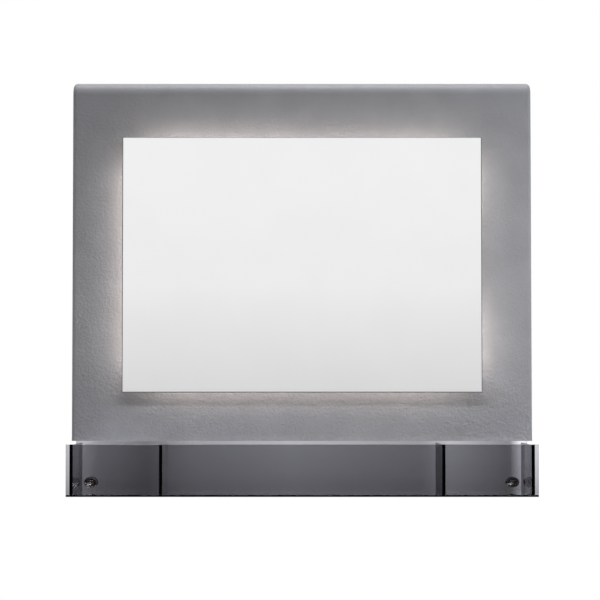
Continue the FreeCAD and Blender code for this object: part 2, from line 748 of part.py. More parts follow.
def terminal_block():
    """Three poles side by side on one base, each with a wire bore and a clamp-screw well at both ends."""
    half_width = BLOCK_WIDTH / 2
    half_height = 1.5 * POLE_PITCH
    base_front = floor_front - BLOCK_BASE_DEPTH
    block_front = floor_front - BLOCK_DEPTH
    half_pole = POLE_WIDTH / 2
    low = lamp_middle - half_height
    high = lamp_middle + half_height
    body = block(-half_width, half_width, floor_front, base_front, low, high)
    poles = []
    cutters = []
    for pole in POLES:
        z = lamp_middle + pole * POLE_PITCH
        poles.append(block(-half_width, half_width, base_front, block_front, z - half_pole, z + half_pole))
        for side in SIDES.values():
            mouth = Vector(side * half_width, lead_depth, z)
            inward = Vector(-side, 0, 0)
            cutters.append(Part.makeCylinder(LEAD_RADIUS + HOLE_CLEARANCE, wire_entry, mouth, inward))
            well_radius = CLAMP_SCREW_RADIUS + HOLE_CLEARANCE
            cutters.append(disc(well_radius, side * clamp_x, z, clamp_depth, block_front))
    for x, z in block_screw_places():
        pilot_end = floor_back - BLOCK_SCREW_LENGTH - THREAD_CLEARANCE
        cutters.append(disc(SCREW_RADIUS + THREAD_CLEARANCE, x, z, floor_front, pilot_end))
    return body.fuse(poles).removeSplitter().cut(cutters)


def clamp_screw(side, pole):
    """A clamp screw in its well, on the wire below it."""
    z = lamp_middle + pole * POLE_PITCH
    return disc(CLAMP_SCREW_RADIUS, side * clamp_x, z, clamp_depth, clamp_depth - CLAMP_SCREW_LENGTH)


def pole_lead(side, row):
    """A lead from the block's outer pole along the tray to the back of a lampholder."""
    z = lamp_middle + row * POLE_PITCH
    column = side * (lamp_x - FEED_OFFSET_X)
    points = [
        Vector(side * (BLOCK_WIDTH / 2 - wire_entry), lead_depth, z),
        Vector(column, lead_depth, z),
        Vector(column, lead_depth, lamp_middle + row * holder_seat),
    ]
    return lead(points, min(LEAD_BEND, holder_seat - POLE_PITCH - LEAD_RADIUS))


def jumper_lead(side, offset):
    """A straight lead from one lampholder to the other on the same bracket."""
    x = side * lamp_x + offset
    start = Vector(x, lamp_axis, lamp_middle - holder_seat)
    return Part.makeCylinder(LEAD_RADIUS, 2 * holder_seat, start, Vector(0, 0, 1))


def earth_lead():
    """The lead from the block's middle pole to the tag on the tray floor."""
    tail = -EARTH_REACH + EARTH_TAG_TAIL - LEAD_RADIUS
    points = [
        Vector(wire_entry - BLOCK_WIDTH / 2, lead_depth, lamp_middle),
        Vector(tail, lead_depth, lamp_middle),
        Vector(tail, floor_front - EARTH_TAG_THICKNESS, lamp_middle),
    ]
    return lead(points, EARTH_BEND)


def earth_tag():
    """A ring tag under the earth screw, with a tail that the lead is soldered to."""
    front = floor_front - EARTH_TAG_THICKNESS
    ring = disc(EARTH_TAG_RADIUS, -EARTH_REACH, lamp_middle, floor_front, front)
    half = LEAD_RADIUS + EARTH_TAG_THICKNESS
    tail_end = -EARTH_REACH + EARTH_TAG_TAIL
    tail = block(-EARTH_REACH, tail_end, floor_front, front, lamp_middle - half, lamp_middle + half)
    bore = disc(SCREW_RADIUS + HOLE_CLEARANCE, -EARTH_REACH, lamp_middle, floor_front, front)
    return ring.fuse(tail).removeSplitter().cut(bore)


def cable_plate():
    """A plate behind the tray's opening, with the hole for the cable grommet."""
    z = lamp_middle - CABLE_PLATE_DROP
    left = CABLE_PLATE_X - CABLE_PLATE_WIDTH / 2
    low = z - CABLE_PLATE_HEIGHT / 2
    back = floor_back + CABLE_PLATE_SHEET
    plate = block(left, left + CABLE_PLATE_WIDTH, floor_back, back, low, low + CABLE_PLATE_HEIGHT)
    cutters = [disc(GROMMET_HOLE_RADIUS, CABLE_PLATE_X, z, floor_back, back)]
    for screw_x, screw_z in cable_plate_screw_places():
        cutters.append(disc(SCREW_RADIUS + HOLE_CLEARANCE, screw_x, screw_z, floor_back, back))
    return plate.cut(cutters)


def cable_grommet():
    """A rubber ring that lines the cable's hole in its plate."""
    x = CABLE_PLATE_X
    z = lamp_middle - CABLE_PLATE_DROP
    back = floor_back + CABLE_PLATE_SHEET
    front_end = floor_back - GROMMET_FLANGE_HEIGHT
    back_end = back + GROMMET_FLANGE_HEIGHT
    ring = disc(GROMMET_HOLE_RADIUS, x, z, floor_back, back)
    front_flange = disc(GROMMET_FLANGE_RADIUS, x, z, front_end, floor_back)
    back_flange = disc(GROMMET_FLANGE_RADIUS, x, z, back, back_end)
    bore = disc(CABLE_RADIUS, x, z, front_end, back_end)
    return ring.fuse([front_flange, back_flange]).removeSplitter().cut(bore)


def with_broken_top(plate):
    """An acrylic plate with its upper edges slightly broken, as after polishing."""
    top = plate.BoundBox.ZMax
    edges = [edge for edge in plate.Edges if edge.BoundBox.ZMin > top - 1e-4]
    return plate.makeChamfer(SHELF_EDGE_BREAK, edges)


def shelf_front():
    """The front plate, which stands on the bottom plate and overhangs the end walls."""
    return with_broken_top(
        block(-panel_half, panel_half, shelf_front_rear, shelf_front_face, SHELF_BOTTOM_SHEET, SHELF_HEIGHT)
    )


def shelf_back():
    """The back plate, with a tongue that reaches up inside the panel and holes for screws."""
    shoulder = panel_foot - SEAT_CLEARANCE
    tongue_half = panel_half - TONGUE_INSET
    tongue_top = panel_foot + TONGUE_HEIGHT
    plate = block(-panel_half, panel_half, shelf_back_rear, shelf_back_front, SHELF_BOTTOM_SHEET, shoulder)
    tongue = block(-tongue_half, tongue_half, shelf_back_rear, shelf_back_front, shoulder, tongue_top)
    cutters = [
        disc(SCREW_RADIUS + HOLE_CLEARANCE, x, shelf_boss_height, shelf_back_rear, shelf_back_front)
        for x in shelf_boss_columns
    ]
    for side in SIDES.values():
        x = side * wall_screw_x
        cutters.append(disc(WALL_SCREW_HOLE_RADIUS, x, WALL_SCREW_RISE, shelf_back_rear, shelf_back_front))
    return plate.fuse(tongue).removeSplitter().cut(cutters)


def shelf_bottom():
    """The bottom plate, under all the upright plates."""
    return block(-panel_half, panel_half, shelf_back_rear, shelf_front_face, 0, SHELF_BOTTOM_SHEET)


def shelf_upright(inner, outer, side):
    """An end wall or a divider, between the front and back plates."""
    return with_broken_top(
        block(
            side * inner, side * outer, shelf_back_front, shelf_front_rear, SHELF_BOTTOM_SHEET, SHELF_HEIGHT
        )
    )


def screw_cap(side):
    """A hollow oval cap over a wall screw: a flange on the washer, a barrel and a domed end."""
    seat = shelf_back_front - WASHER_HEIGHT
    barrel_rear = seat - CAP_FLANGE_HEIGHT
    shoulder = barrel_rear - CAP_BARREL_LENGTH
    crown = shoulder - CAP_DOME_HEIGHT
    ball_radius = (CAP_BARREL_RADIUS**2 + CAP_DOME_HEIGHT**2) / (2 * CAP_DOME_HEIGHT)
    ball = Part.makeSphere(ball_radius, Vector(0, crown + ball_radius, 0))
    dome = ball.common(disc(2 * ball_radius, 0, 0, shoulder, crown))
    flange = disc(CAP_FLANGE_RADIUS, 0, 0, seat, barrel_rear)
    barrel = disc(CAP_BARREL_RADIUS, 0, 0, barrel_rear, shoulder)
    widen = FreeCAD.Matrix()
    widen.scale(CAP_STRETCH, 1, 1)
    cap = flange.fuse([barrel, dome]).removeSplitter().transformGeometry(widen)
    x = side * wall_screw_x
    cap.translate(Vector(x, 0, WALL_SCREW_RISE))
    return cap.cut(disc(CAP_BARREL_RADIUS - CAP_WALL, x, WALL_SCREW_RISE, seat, shoulder))


def wall_screw_ring(side, radius, y0, y1):
    """A washer or spacer round a wall screw."""
    x = side * wall_screw_x
    ring = disc(radius, x, WALL_SCREW_RISE, y0, y1)
    return ring.cut(disc(WALL_SCREW_HOLE_RADIUS, x, WALL_SCREW_RISE, y0, y1))


def save(name, *solids):
    """Write one node, lowered so that the origin lies on the hanging line."""
    shape = solids[0] if len(solids) == 1 else Part.makeCompound(list(solids))
    shape = shape.copy()
    shape.translate(Vector(0, 0, -hang_line))
    for solid in shape.Solids:
        if not solid.isValid() or solid.Volume <= 0:
            raise ValueError(name + " is not a sound solid")
    shape.exportStep("parts/" + name + ".step")
    print(name, len(shape.Solids), "solid(s),", round(shape.Volume), "mm3")


os.makedirs("parts", exist_ok=True)

# Panel, tray and hangers
save("front_panel", front_panel())
save("lamp_tray", lamp_tray())
save("tray_screws", *[pan_screw(x, z, flange_back, True) for x, z in tray_screw_places()])
for side, sign in SIDES.items():
    save(side + "_hanger", hanger(sign))
save("hanger_rivets", *[hanger_rivet(x, z) for x, z in rivet_places()])

# Mirror and its posts
for name, (x, z) in post_places().items():
    save(name + "_post", mirror_post(x, z))
save("post_nuts", *[post_nut(x, z) for x, z in post_places().values()])
save("mirror_backing", mirror_backing())
save("mirror_glass", mirror_glass())
for number, x in enumerate((-pad_x, -PAD_INNER_COLUMN, PAD_INNER_COLUMN, pad_x), 1):
    save("mirror_pad_" + str(number), mirror_pad(x))

# Lamps
for side, sign in SIDES.items():
    save(side + "_lamp_bracket", lamp_bracket(sign))
    for row, way in ROWS.items():
        place = row + "_" + side + "_"
        save(place + "lampholder", place_on_bracket(lampholder(), sign, way))
        save(place + "lamp_cap", place_on_bracket(lamp_cap(), sign, way))
        save(place + "lamp_glass", place_on_bracket(lamp_glass(), sign, way))
corners = [(sign, way) for sign in SIDES.values() for way in ROWS.values()]
save("holder_nuts", *[place_on_bracket(holder_nut(), sign, way) for sign, way in corners])
bracket_front = floor_front - BRACKET_SHEET
bracket_length = BRACKET_SHEET + TRAY_SHEET + SHEET_SCREW_TIP
bracket_places = bracket_screw_places()
save("bracket_screws", *[pan_screw(x, z, bracket_front, False, bracket_length) for x, z in bracket_places])

# Wiring
save("terminal_block", terminal_block())
block_places = block_screw_places()
save("block_screws", *[pan_screw(x, z, floor_back, True, BLOCK_SCREW_LENGTH) for x, z in block_places])
save("terminal_screws", *[clamp_screw(sign, pole) for sign in SIDES.values() for pole in POLES])
save("live_leads", *[pole_lead(sign, 1) for sign in SIDES.values()])
save("neutral_leads", *[pole_lead(sign, -1) for sign in SIDES.values()])
save("jumper_leads", *[jumper_lead(sign, way * JUMPER_OFFSET) for sign, way in corners])
save("earth_lead", earth_lead())
save("earth_tag", earth_tag())
tag_front = floor_front - EARTH_TAG_THICKNESS
earth_length = EARTH_TAG_THICKNESS + TRAY_SHEET + SHEET_SCREW_TIP
save("earth_screw", pan_screw(-EARTH_REACH, lamp_middle, tag_front, False, earth_length))
save("cable_plate", cable_plate())
plate_back = floor_back + CABLE_PLATE_SHEET
plate_length = CABLE_PLATE_SHEET + TRAY_SHEET + SHEET_SCREW_TIP
plate_places = cable_plate_screw_places()
save("cable_plate_screws", *[pan_screw(x, z, plate_back, True, plate_length) for x, z in plate_places])
save("cable_grommet", cable_grommet())

# Shelf
save("shelf_front", shelf_front())
save("shelf_back", shelf_back())
save("shelf_bottom", shelf_bottom())
for side, sign in SIDES.items():
    save("shelf_" + side + "_end", shelf_upright(end_inner, end_outer, sign))
    save("shelf_" + side + "_divider", shelf_upright(divider_inner, divider_outer, sign))
    save(side + "_screw_cap", screw_cap(sign))
save("shelf_screws", *[pan_screw(x, shelf_boss_height, shelf_back_rear, True) for x in shelf_boss_columns])
signs = SIDES.values()
washer = (WASHER_RADIUS, shelf_back_front, shelf_back_front - WASHER_HEIGHT)
save("cap_washers", *[wall_screw_ring(sign, *washer) for sign in signs])
save("wall_spacers", *[wall_screw_ring(sign, SPACER_RADIUS, shelf_back_rear, 0) for sign in signs])
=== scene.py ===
# %% [markdown]
# # A backlit wall mirror with a smoked acrylic shelf
#
# The object hangs on a wall: a grey moulded panel, a frameless mirror that stands in front of it, warm
# lamps hidden behind the mirror, and an open trough of smoked acrylic below. The modelled assembly is the
# frame that fixes every size. This script gives each piece its finish, rebuilds the pieces that need
# finer shapes than the assembly has, and sets up a white studio.
#
# Lengths are in metres, +X is the viewer's right, the front faces -Y and +Z is up.

import json
import math

import bmesh
import bpy
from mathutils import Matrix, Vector


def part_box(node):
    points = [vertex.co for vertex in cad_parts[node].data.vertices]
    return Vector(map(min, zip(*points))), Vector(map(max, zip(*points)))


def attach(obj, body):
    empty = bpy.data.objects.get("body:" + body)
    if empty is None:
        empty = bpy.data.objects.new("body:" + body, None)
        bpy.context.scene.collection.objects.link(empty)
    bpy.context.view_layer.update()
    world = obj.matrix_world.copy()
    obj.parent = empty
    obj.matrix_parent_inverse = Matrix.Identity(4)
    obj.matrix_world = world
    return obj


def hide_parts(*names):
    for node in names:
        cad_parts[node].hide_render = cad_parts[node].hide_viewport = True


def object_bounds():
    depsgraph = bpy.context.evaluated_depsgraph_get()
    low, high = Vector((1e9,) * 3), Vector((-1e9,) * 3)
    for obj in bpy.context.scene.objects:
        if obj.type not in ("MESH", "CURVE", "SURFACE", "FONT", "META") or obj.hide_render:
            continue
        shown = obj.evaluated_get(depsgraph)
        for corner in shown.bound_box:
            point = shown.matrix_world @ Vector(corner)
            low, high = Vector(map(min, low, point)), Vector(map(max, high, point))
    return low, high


MILLIMETRES_PER_METRE = 1000

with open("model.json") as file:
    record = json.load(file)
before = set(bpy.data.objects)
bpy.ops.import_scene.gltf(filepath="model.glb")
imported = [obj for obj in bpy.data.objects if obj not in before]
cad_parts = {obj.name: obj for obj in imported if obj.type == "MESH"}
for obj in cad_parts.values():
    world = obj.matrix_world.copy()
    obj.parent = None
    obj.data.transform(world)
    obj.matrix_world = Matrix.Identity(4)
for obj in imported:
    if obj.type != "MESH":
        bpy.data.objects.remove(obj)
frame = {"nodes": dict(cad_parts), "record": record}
cad_low, cad_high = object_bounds()
nodes = frame["nodes"]
scene = bpy.context.scene
print("pieces in the frame:", len(nodes))
print("box in millimetres:", [round(MILLIMETRES_PER_METRE * side) for side in cad_high - cad_low])

# %% [markdown]
# ## Helpers
#
# Colours are picked in sRGB because that is how a photo states them, and a shader wants them linear. A
# node tree is easier to read when one line adds one node, so a single helper sets a node's options, its
# fixed inputs and the links that come into it.

# %% Colour and node helpers
# Most values of a noise texture lie between these two.
NOISE_LOW = 0.3
NOISE_HIGH = 0.7


def linear(colour):
    """The linear colour of six sRGB hex digits."""
    channels = [int(colour[start:start + 2], 16) / 255 for start in (0, 2, 4)]
    return [c / 12.92 if c <= 0.04045 else ((c + 0.055) / 1.055) ** 2.4 for c in channels] + [1.0]


def add_node(tree, kind, options=None, values=None, links=None):
    """One node in a tree, with its options, its fixed inputs and what is linked to its other inputs."""
    node = tree.nodes.new(kind)
    for name, option in (options or {}).items():
        setattr(node, name, option)
    for name, value in (values or {}).items():
        node.inputs[name].default_value = value
    for name, source in (links or {}).items():
        for output in source if isinstance(source, tuple) else (source,):
            tree.links.new(output, node.inputs[name])
    return node


def new_material(name):
    """An empty material, its node tree and an output for its shaders."""
    material = bpy.data.materials.new(name)
    material.use_nodes = True
    material.node_tree.nodes.clear()
    output = material.node_tree.nodes.new("ShaderNodeOutputMaterial")
    return material, material.node_tree, output


def noise(tree, grain, detail=2.0):
    """Noise in the piece's own coordinates, with grains of about that size in millimetres."""
    place = add_node(tree, "ShaderNodeTexCoord")
    return add_node(tree, "ShaderNodeTexNoise",
                    values={"Scale": MILLIMETRES_PER_METRE / grain, "Detail": detail},
                    links={"Vector": place.outputs["Object"]})


def between(tree, factor, low, high):
    """A number that goes from low to high as the factor goes through the middle of its range."""
    return add_node(tree, "ShaderNodeMapRange",
                    values={"From Min": NOISE_LOW, "From Max": NOISE_HIGH, "To Min": low, "To Max": high},
                    links={"Value": factor}).outputs["Result"]


def blended(tree, factor, first, second):
    """A colour that goes from the first hex colour to the second as the factor goes through its range."""
    ramp = add_node(tree, "ShaderNodeValToRGB", links={"Fac": factor})
    ramp.color_ramp.elements[0].position = NOISE_LOW
    ramp.color_ramp.elements[1].position = NOISE_HIGH
    ramp.color_ramp.elements[0].color = linear(first)
    ramp.color_ramp.elements[1].color = linear(second)
    return ramp.outputs["Color"]


print("white in linear light:", linear("ffffff")[:3])

# %% [markdown]
# ## Camera
#
# The photo was taken from about two metres with a long lens, a little above the shelf. The vanishing
# point of the trough's side walls gives the camera's place, and the trough's width gives its distance.
# The mirror is higher than the lens, so the view is raised, half by a shift and half by a small tilt. A
# shift alone would keep the upright edges upright, but it also moves the object in views from other
# sides.

# %% Place the camera
# The lens is in millimetres, the shifts are shares of the picture's width and the tilt is in degrees.
CAMERA_X = -0.012
CAMERA_DISTANCE = 1.94
CAMERA_ABOVE_SHELF = 0.1116
LENS = 98.7
SHIFT_RIGHT = 0.0133
SHIFT_UP = 0.084
TILT_UP = 1.80

camera = bpy.data.objects.new("camera", bpy.data.cameras.new("camera"))
camera.location = (CAMERA_X, cad_low.y - CAMERA_DISTANCE, cad_low.z + CAMERA_ABOVE_SHELF)
camera.rotation_euler = (math.radians(90 + TILT_UP), 0, 0)
camera.data.lens = LENS
camera.data.shift_x = SHIFT_RIGHT
camera.data.shift_y = SHIFT_UP
scene.collection.objects.link(camera)
scene.camera = camera
print("camera at", [round(value, 3) for value in camera.location])

# %% [markdown]
# ## Studio
#
# A white studio surrounds the object, as for a catalogue cut-out, so there is no wall behind it. The
# ceiling is brighter than the walls, for the gloss of the rolled top edge. Shiny acrylic takes its black
# lines from a dark strip that stands low behind the camera, and the mirror looks over that strip into
# plain white. What the photo shows through the acrylic is lighter and darker from place to place, so the
# light from behind changes with its direction, by levels given for the photo's view. Matt surfaces
# take this light only from behind, so that the front is modelled by the lamps alone.

# %% White surroundings
WALL_LIGHT = 0.94
CEILING_LIGHT = 1.8
# Rises of a direction between which the walls go over into the ceiling.
CEILING_RISE = (0.25, 0.9)

scene.view_settings.view_transform = "Standard"
world = bpy.data.worlds.new("white_studio")
world.use_nodes = True
scene.world = world
sky = world.node_tree
sky.nodes.clear()
direction = add_node(sky, "ShaderNodeTexCoord")
axes = add_node(sky, "ShaderNodeSeparateXYZ", links={"Vector": direction.outputs["Generated"]})
overhead = add_node(sky, "ShaderNodeMapRange", {"interpolation_type": "SMOOTHSTEP"},
                    {"From Min": CEILING_RISE[0], "From Max": CEILING_RISE[1],
                     "To Min": WALL_LIGHT, "To Max": CEILING_LIGHT},
                    {"Value": axes.outputs["Z"]}).outputs["Result"]
print("light of the walls and the ceiling:", WALL_LIGHT, CEILING_LIGHT)

# %% Light from the front and from behind
STRIP_LIGHT = 0.02
# The ramps of light span this much of a direction's rise or sideways part, to each side of zero.
RAMP_REACH = 0.3
# Each pair of depths says where the change from plain white starts and where it is complete.
FRONT_DEPTH = (-0.88, -0.95)
REAR_DEPTH = (0.85, 0.97)
# Pairs of a direction's rise, or its sideways part, and the light that comes from there.
FRONT_BY_RISE = ((-0.2, 1.0), (-0.13, STRIP_LIGHT), (-0.008, STRIP_LIGHT), (0.003, 0.84), (0.03, 0.915),
                 (0.07, 1.04), (0.14, 1.08))
REAR_BY_RISE = ((-0.1, 1.0), (-0.056, 0.66), (-0.045, 0.92), (-0.027, 1.17), (0.05, 1.0))
REAR_BY_SIDE = ((-0.2, 1.0), (-0.126, 1.35), (-0.117, 0.85), (-0.088, 0.5), (-0.06, 0.95), (0.0, 1.3),
                (0.078, 0.9), (0.095, 1.4), (0.131, 0.68), (0.138, 2.7), (0.146, 1.6), (0.2, 1.2))


def stepped(axis, pairs):
    """Light along one axis of a direction, straight between pairs of place and level."""
    along = add_node(sky, "ShaderNodeMapRange", values={"From Min": -RAMP_REACH, "From Max": RAMP_REACH},
                     links={"Value": axes.outputs[axis]})
    ramp = add_node(sky, "ShaderNodeValToRGB", links={"Fac": along.outputs["Result"]})
    stops = ramp.color_ramp.elements
    places = [(place + RAMP_REACH) / (2 * RAMP_REACH) for place, _ in pairs]
    stops[0].position = places[0]
    stops[1].position = places[-1]
    for place in places[1:-1]:
        stops.new(place)
    for stop, (_, level) in zip(stops, pairs):
        stop.color = (level, level, level, 1)
    return ramp.outputs["Color"]


def facing(depths, light):
    """That light where a direction's depth is past the second of two, and plain white short of the first."""
    start, complete = depths
    share = add_node(sky, "ShaderNodeMapRange", {"interpolation_type": "SMOOTHSTEP"},
                     {"From Min": start, "From Max": complete}, {"Value": axes.outputs["Y"]})
    return add_node(sky, "ShaderNodeMix", values={"A": 1.0},
                    links={"Factor": share.outputs["Result"], "B": light}).outputs["Result"]


def times(first, second):
    """One light multiplied by another."""
    return add_node(sky, "ShaderNodeMath", {"operation": "MULTIPLY"},
                    links={0: first, 1: second}).outputs["Value"]


front = facing(FRONT_DEPTH, stepped("Z", FRONT_BY_RISE))
rear = facing(REAR_DEPTH, times(stepped("Z", REAR_BY_RISE), stepped("X", REAR_BY_SIDE)))
print("levels in front and behind:", len(FRONT_BY_RISE), len(REAR_BY_RISE) + len(REAR_BY_SIDE))

# %% The studio's light for each kind of ray
MATT_SHARE_BEHIND = 0.5
# Depths of a direction between which its share for matt surfaces grows from nothing.
MATT_DEPTH = (0.0, 0.3)

seen = add_node(sky, "ShaderNodeLightPath")
matt = add_node(sky, "ShaderNodeMapRange", {"interpolation_type": "SMOOTHSTEP"},
                {"From Min": MATT_DEPTH[0], "From Max": MATT_DEPTH[1], "To Max": MATT_SHARE_BEHIND},
                {"Value": axes.outputs["Y"]}).outputs["Result"]
shaded = add_node(sky, "ShaderNodeMix", values={"A": 1.0},
                  links={"Factor": seen.outputs["Is Diffuse Ray"], "B": matt}).outputs["Result"]
strength = add_node(sky, "ShaderNodeMix", values={"B": 1.0},
                    links={"Factor": seen.outputs["Is Camera Ray"],
                           "A": times(shaded, times(overhead, times(front, rear)))})
background = add_node(sky, "ShaderNodeBackground", values={"Color": linear("ffffff")},
                      links={"Strength": strength.outputs["Result"]})
add_node(sky, "ShaderNodeOutputWorld", links={"Surface": background.outputs["Background"]})
print("the studio has", len(sky.nodes), "nodes")

# %% [markdown]
# ## Floor
#
# A wall mirror hangs well above the floor, so the floor shows only in views from above. A plane would end
# in corners, and a disc ends in an even horizon all round. It is painted almost white and glows a little,
# so that it stays pale without a lamp of its own.

# %% Pale floor
FLOOR_BELOW = 1.25
FLOOR_RADIUS = 8.0
FLOOR_SIDES = 64
FLOOR_GLOW = 0.3

floor_mesh = bpy.data.meshes.new("floor")
disc = bmesh.new()
bmesh.ops.create_circle(disc, cap_ends=True, radius=FLOOR_RADIUS, segments=FLOOR_SIDES)
bmesh.ops.translate(disc, vec=(0, 0, cad_low.z - FLOOR_BELOW), verts=disc.verts)
disc.to_mesh(floor_mesh)
disc.free()
floor = bpy.data.objects.new("floor", floor_mesh)
scene.collection.objects.link(floor)
material, tree, output = new_material("pale_floor_paint")
floor_tone = noise(tree, 400.0)
surface = add_node(tree, "ShaderNodeBsdfPrincipled",
                   values={"Roughness": 0.6, "Emission Color": linear("ffffff"),
                           "Emission Strength": FLOOR_GLOW},
                   links={"Base Color": blended(tree, floor_tone.outputs["Fac"], "eeeeee", "f2f2f2")})
tree.links.new(surface.outputs["BSDF"], output.inputs["Surface"])
floor_mesh.materials.append(material)
print("floor at", round(cad_low.z - FLOOR_BELOW, 3))

# %% [markdown]
# ## Soft lamps
#
# The photo's light comes from above, which draws the rolled top edge as a bright band, and from the
# right, where the panel is lighter. A little more comes from the front, from above the middle: it lifts
# the panel's foot and throws the mirror's short shadow. Each is a soft area lamp, because small lamps
# would throw hard shadows. Only the upper one shows in glossy surfaces: the others would stand in the
# acrylic as white shapes.

# %% Lamps above, beside and in front
# Each lamp has its place, the point it shines at, its width and height, its power and its colour.
SOFT_LAMPS = {
    "top_light": ((0.0, -0.09, 1.0), (0.0, -0.03, 0.0), (1.1, 0.2), 16.0, "fafbff"),
    "side_light": ((0.62, -0.32, -0.14), (0.2, 0.0, -0.2), (0.25, 0.4), 2.05, "fdfdff"),
    "foot_light": ((0.0, -0.75, 0.0), (0.0, -0.45, -0.95), (0.6, 0.1), 6.0, "fdfdff"),
}
# This one shines only through the acrylic, onto the caps of the wall screws and the panel's foot. It is
# never seen itself, because its light has to bounce at least once.
GLINT = ((-0.55, -0.4, -0.95), (0.0, -0.03, -0.44), (1.8, 1.0), 80.0, "fcfcff")


def area_light(name, place, target, size, power, colour):
    """A soft rectangular lamp that shines from a place to a target."""
    lamp = bpy.data.lights.new(name, "AREA")
    lamp.shape = "RECTANGLE"
    lamp.size, lamp.size_y = size
    lamp.energy = power
    lamp.color = linear(colour)[:3]
    holder = bpy.data.objects.new(name, lamp)
    holder.location = place
    holder.rotation_euler = (Vector(target) - Vector(place)).to_track_quat("-Z", "Y").to_euler()
    holder.visible_camera = False
    scene.collection.objects.link(holder)
    return holder


for name, settings in SOFT_LAMPS.items():
    lamp = area_light(name, *settings)
    lamp.visible_glossy = name == "top_light"
    lamp.visible_transmission = False
glint = area_light("glint", *GLINT)
glint.visible_diffuse = False
glint.visible_glossy = False
glint.data.use_nodes = True
tree = glint.data.node_tree
path = add_node(tree, "ShaderNodeLightPath")
bounced = add_node(tree, "ShaderNodeMath", {"operation": "ADD", "use_clamp": True},
                   links={0: path.outputs["Diffuse Depth"], 1: path.outputs["Glossy Depth"]})
tree.links.new(bounced.outputs["Value"], tree.nodes["Emission"].inputs["Strength"])
print("soft lamps:", list(SOFT_LAMPS))

# %% [markdown]
# ## Finishes
#
# Every material slot of the assembly gets its own finish, all of it made of procedural patterns whose
# grain is given in real lengths. The first is the panel's grey ABS, injected into a mould whose face was
# etched. The grain could be real relief in the mesh, but it is a fraction of a millimetre deep, so a bump
# in the shading does it. It is deepest low on the panel and faintest on the rolled top edge, where the
# photo shows hardly any.

# %% Moulded grey ABS
finishes = {}
GRAIN_DEPTH = 0.0028
# Heights between which the grain grows shallower, and the share of it that is left above them.
GRAIN_FOOT = (-0.38, -0.26)
GRAIN_ABOVE_FOOT = 0.4
GRAIN_ROLL = (-0.01, 0.03)
GRAIN_ON_ROLL = 0.25

# ABS off an etched mould: a dull, even grey with a fine leathery grain that shows where the light rakes it.
# The real grain is about a millimetre wide. It is drawn at 3 mm, and deeper to match, because a pixel covers
# more than a millimetre.
material, tree, output = new_material("moulded_grained_abs")
grain = noise(tree, 3.0, 3.0)
mottle = noise(tree, 30.0)
place = add_node(tree, "ShaderNodeTexCoord")
axes_of_piece = add_node(tree, "ShaderNodeSeparateXYZ", links={"Vector": place.outputs["Object"]})
deeper_low = add_node(tree, "ShaderNodeMapRange", {"interpolation_type": "SMOOTHSTEP"},
                      {"From Min": GRAIN_FOOT[0], "From Max": GRAIN_FOOT[1],
                       "To Min": 1.0, "To Max": GRAIN_ABOVE_FOOT},
                      {"Value": axes_of_piece.outputs["Z"]})
smooth_roll = add_node(tree, "ShaderNodeMapRange", {"interpolation_type": "SMOOTHSTEP"},
                       {"From Min": GRAIN_ROLL[0], "From Max": GRAIN_ROLL[1],
                        "To Min": 1.0, "To Max": GRAIN_ON_ROLL},
                       {"Value": axes_of_piece.outputs["Z"]})
depth = add_node(tree, "ShaderNodeMath", {"operation": "MULTIPLY"},
                 links={0: deeper_low.outputs["Result"], 1: smooth_roll.outputs["Result"]})
bump = add_node(tree, "ShaderNodeBump", values={"Distance": GRAIN_DEPTH},
                links={"Height": grain.outputs["Fac"], "Strength": depth.outputs["Value"]})
surface = add_node(tree, "ShaderNodeBsdfPrincipled", values={"Specular IOR Level": 0.3},
                   links={"Base Color": blended(tree, mottle.outputs["Fac"], "797a7d", "7e7f82"),
                          "Roughness": between(tree, grain.outputs["Fac"], 0.45, 0.58),
                          "Normal": bump.outputs["Normal"]})
tree.links.new(surface.outputs["BSDF"], output.inputs["Surface"])
finishes["grey_abs"] = material
print("made", material.name)

# %% [markdown]
# ### Enamel
#
# The lamp tray and the plate behind the mirror are pressed steel, dipped and stoved. A plain gloss white
# would look like plastic. Sprayed enamel flows into a faint orange peel before it sets, so a low, slow
# bump bends its highlights, and a thin coat keeps them sharp.

# %% White stoved enamel
# Stoved enamel: warm white, glossy, with highlights that waver a little.
material, tree, output = new_material("stoved_enamel")
flow = noise(tree, 4.0)
bump = add_node(tree, "ShaderNodeBump", values={"Strength": 0.08, "Distance": 0.0002},
                links={"Height": flow.outputs["Fac"]})
surface = add_node(tree, "ShaderNodeBsdfPrincipled", values={"Roughness": 0.3, "Coat Weight": 0.2},
                   links={"Base Color": blended(tree, flow.outputs["Fac"], "ece9e2", "f0eee8"),
                          "Normal": bump.outputs["Normal"]})
tree.links.new(surface.outputs["BSDF"], output.inputs["Surface"])
finishes["white_enamel"] = material
print("made", material.name)

# %% [markdown]
# ### Zinc
#
# Hangers, posts and screws are steel with a thin electroplated zinc skin. It is a metal, so its colour is
# that of its reflections, and what tells it from chrome is the fine cloudy crystal that varies its gloss.
# Noise on the roughness gives that cloudiness without drawing single crystals.

# %% Zinc plated steel
# Zinc plate: a soft blue-grey metal gleam, cloudy rather than mirror-like.
material, tree, output = new_material("zinc_plated_steel")
crystals = noise(tree, 3.0, 4.0)
surface = add_node(tree, "ShaderNodeBsdfPrincipled", values={"Metallic": 1.0},
                   links={"Base Color": blended(tree, crystals.outputs["Fac"], "bdbec0", "cfcfce"),
                          "Roughness": between(tree, crystals.outputs["Fac"], 0.28, 0.42)})
tree.links.new(surface.outputs["BSDF"], output.inputs["Surface"])
finishes["zinc_steel"] = material
print("made", material.name)

# %% [markdown]
# ### Silvered glass
#
# A mirror is clear glass with silver behind it. Clear glass over a metal plane could be traced, but the
# second image from the glass face is too faint to see, so one metallic face stands for both. Faint wipe
# marks, some centimetres wide, keep its gloss from being the same everywhere.

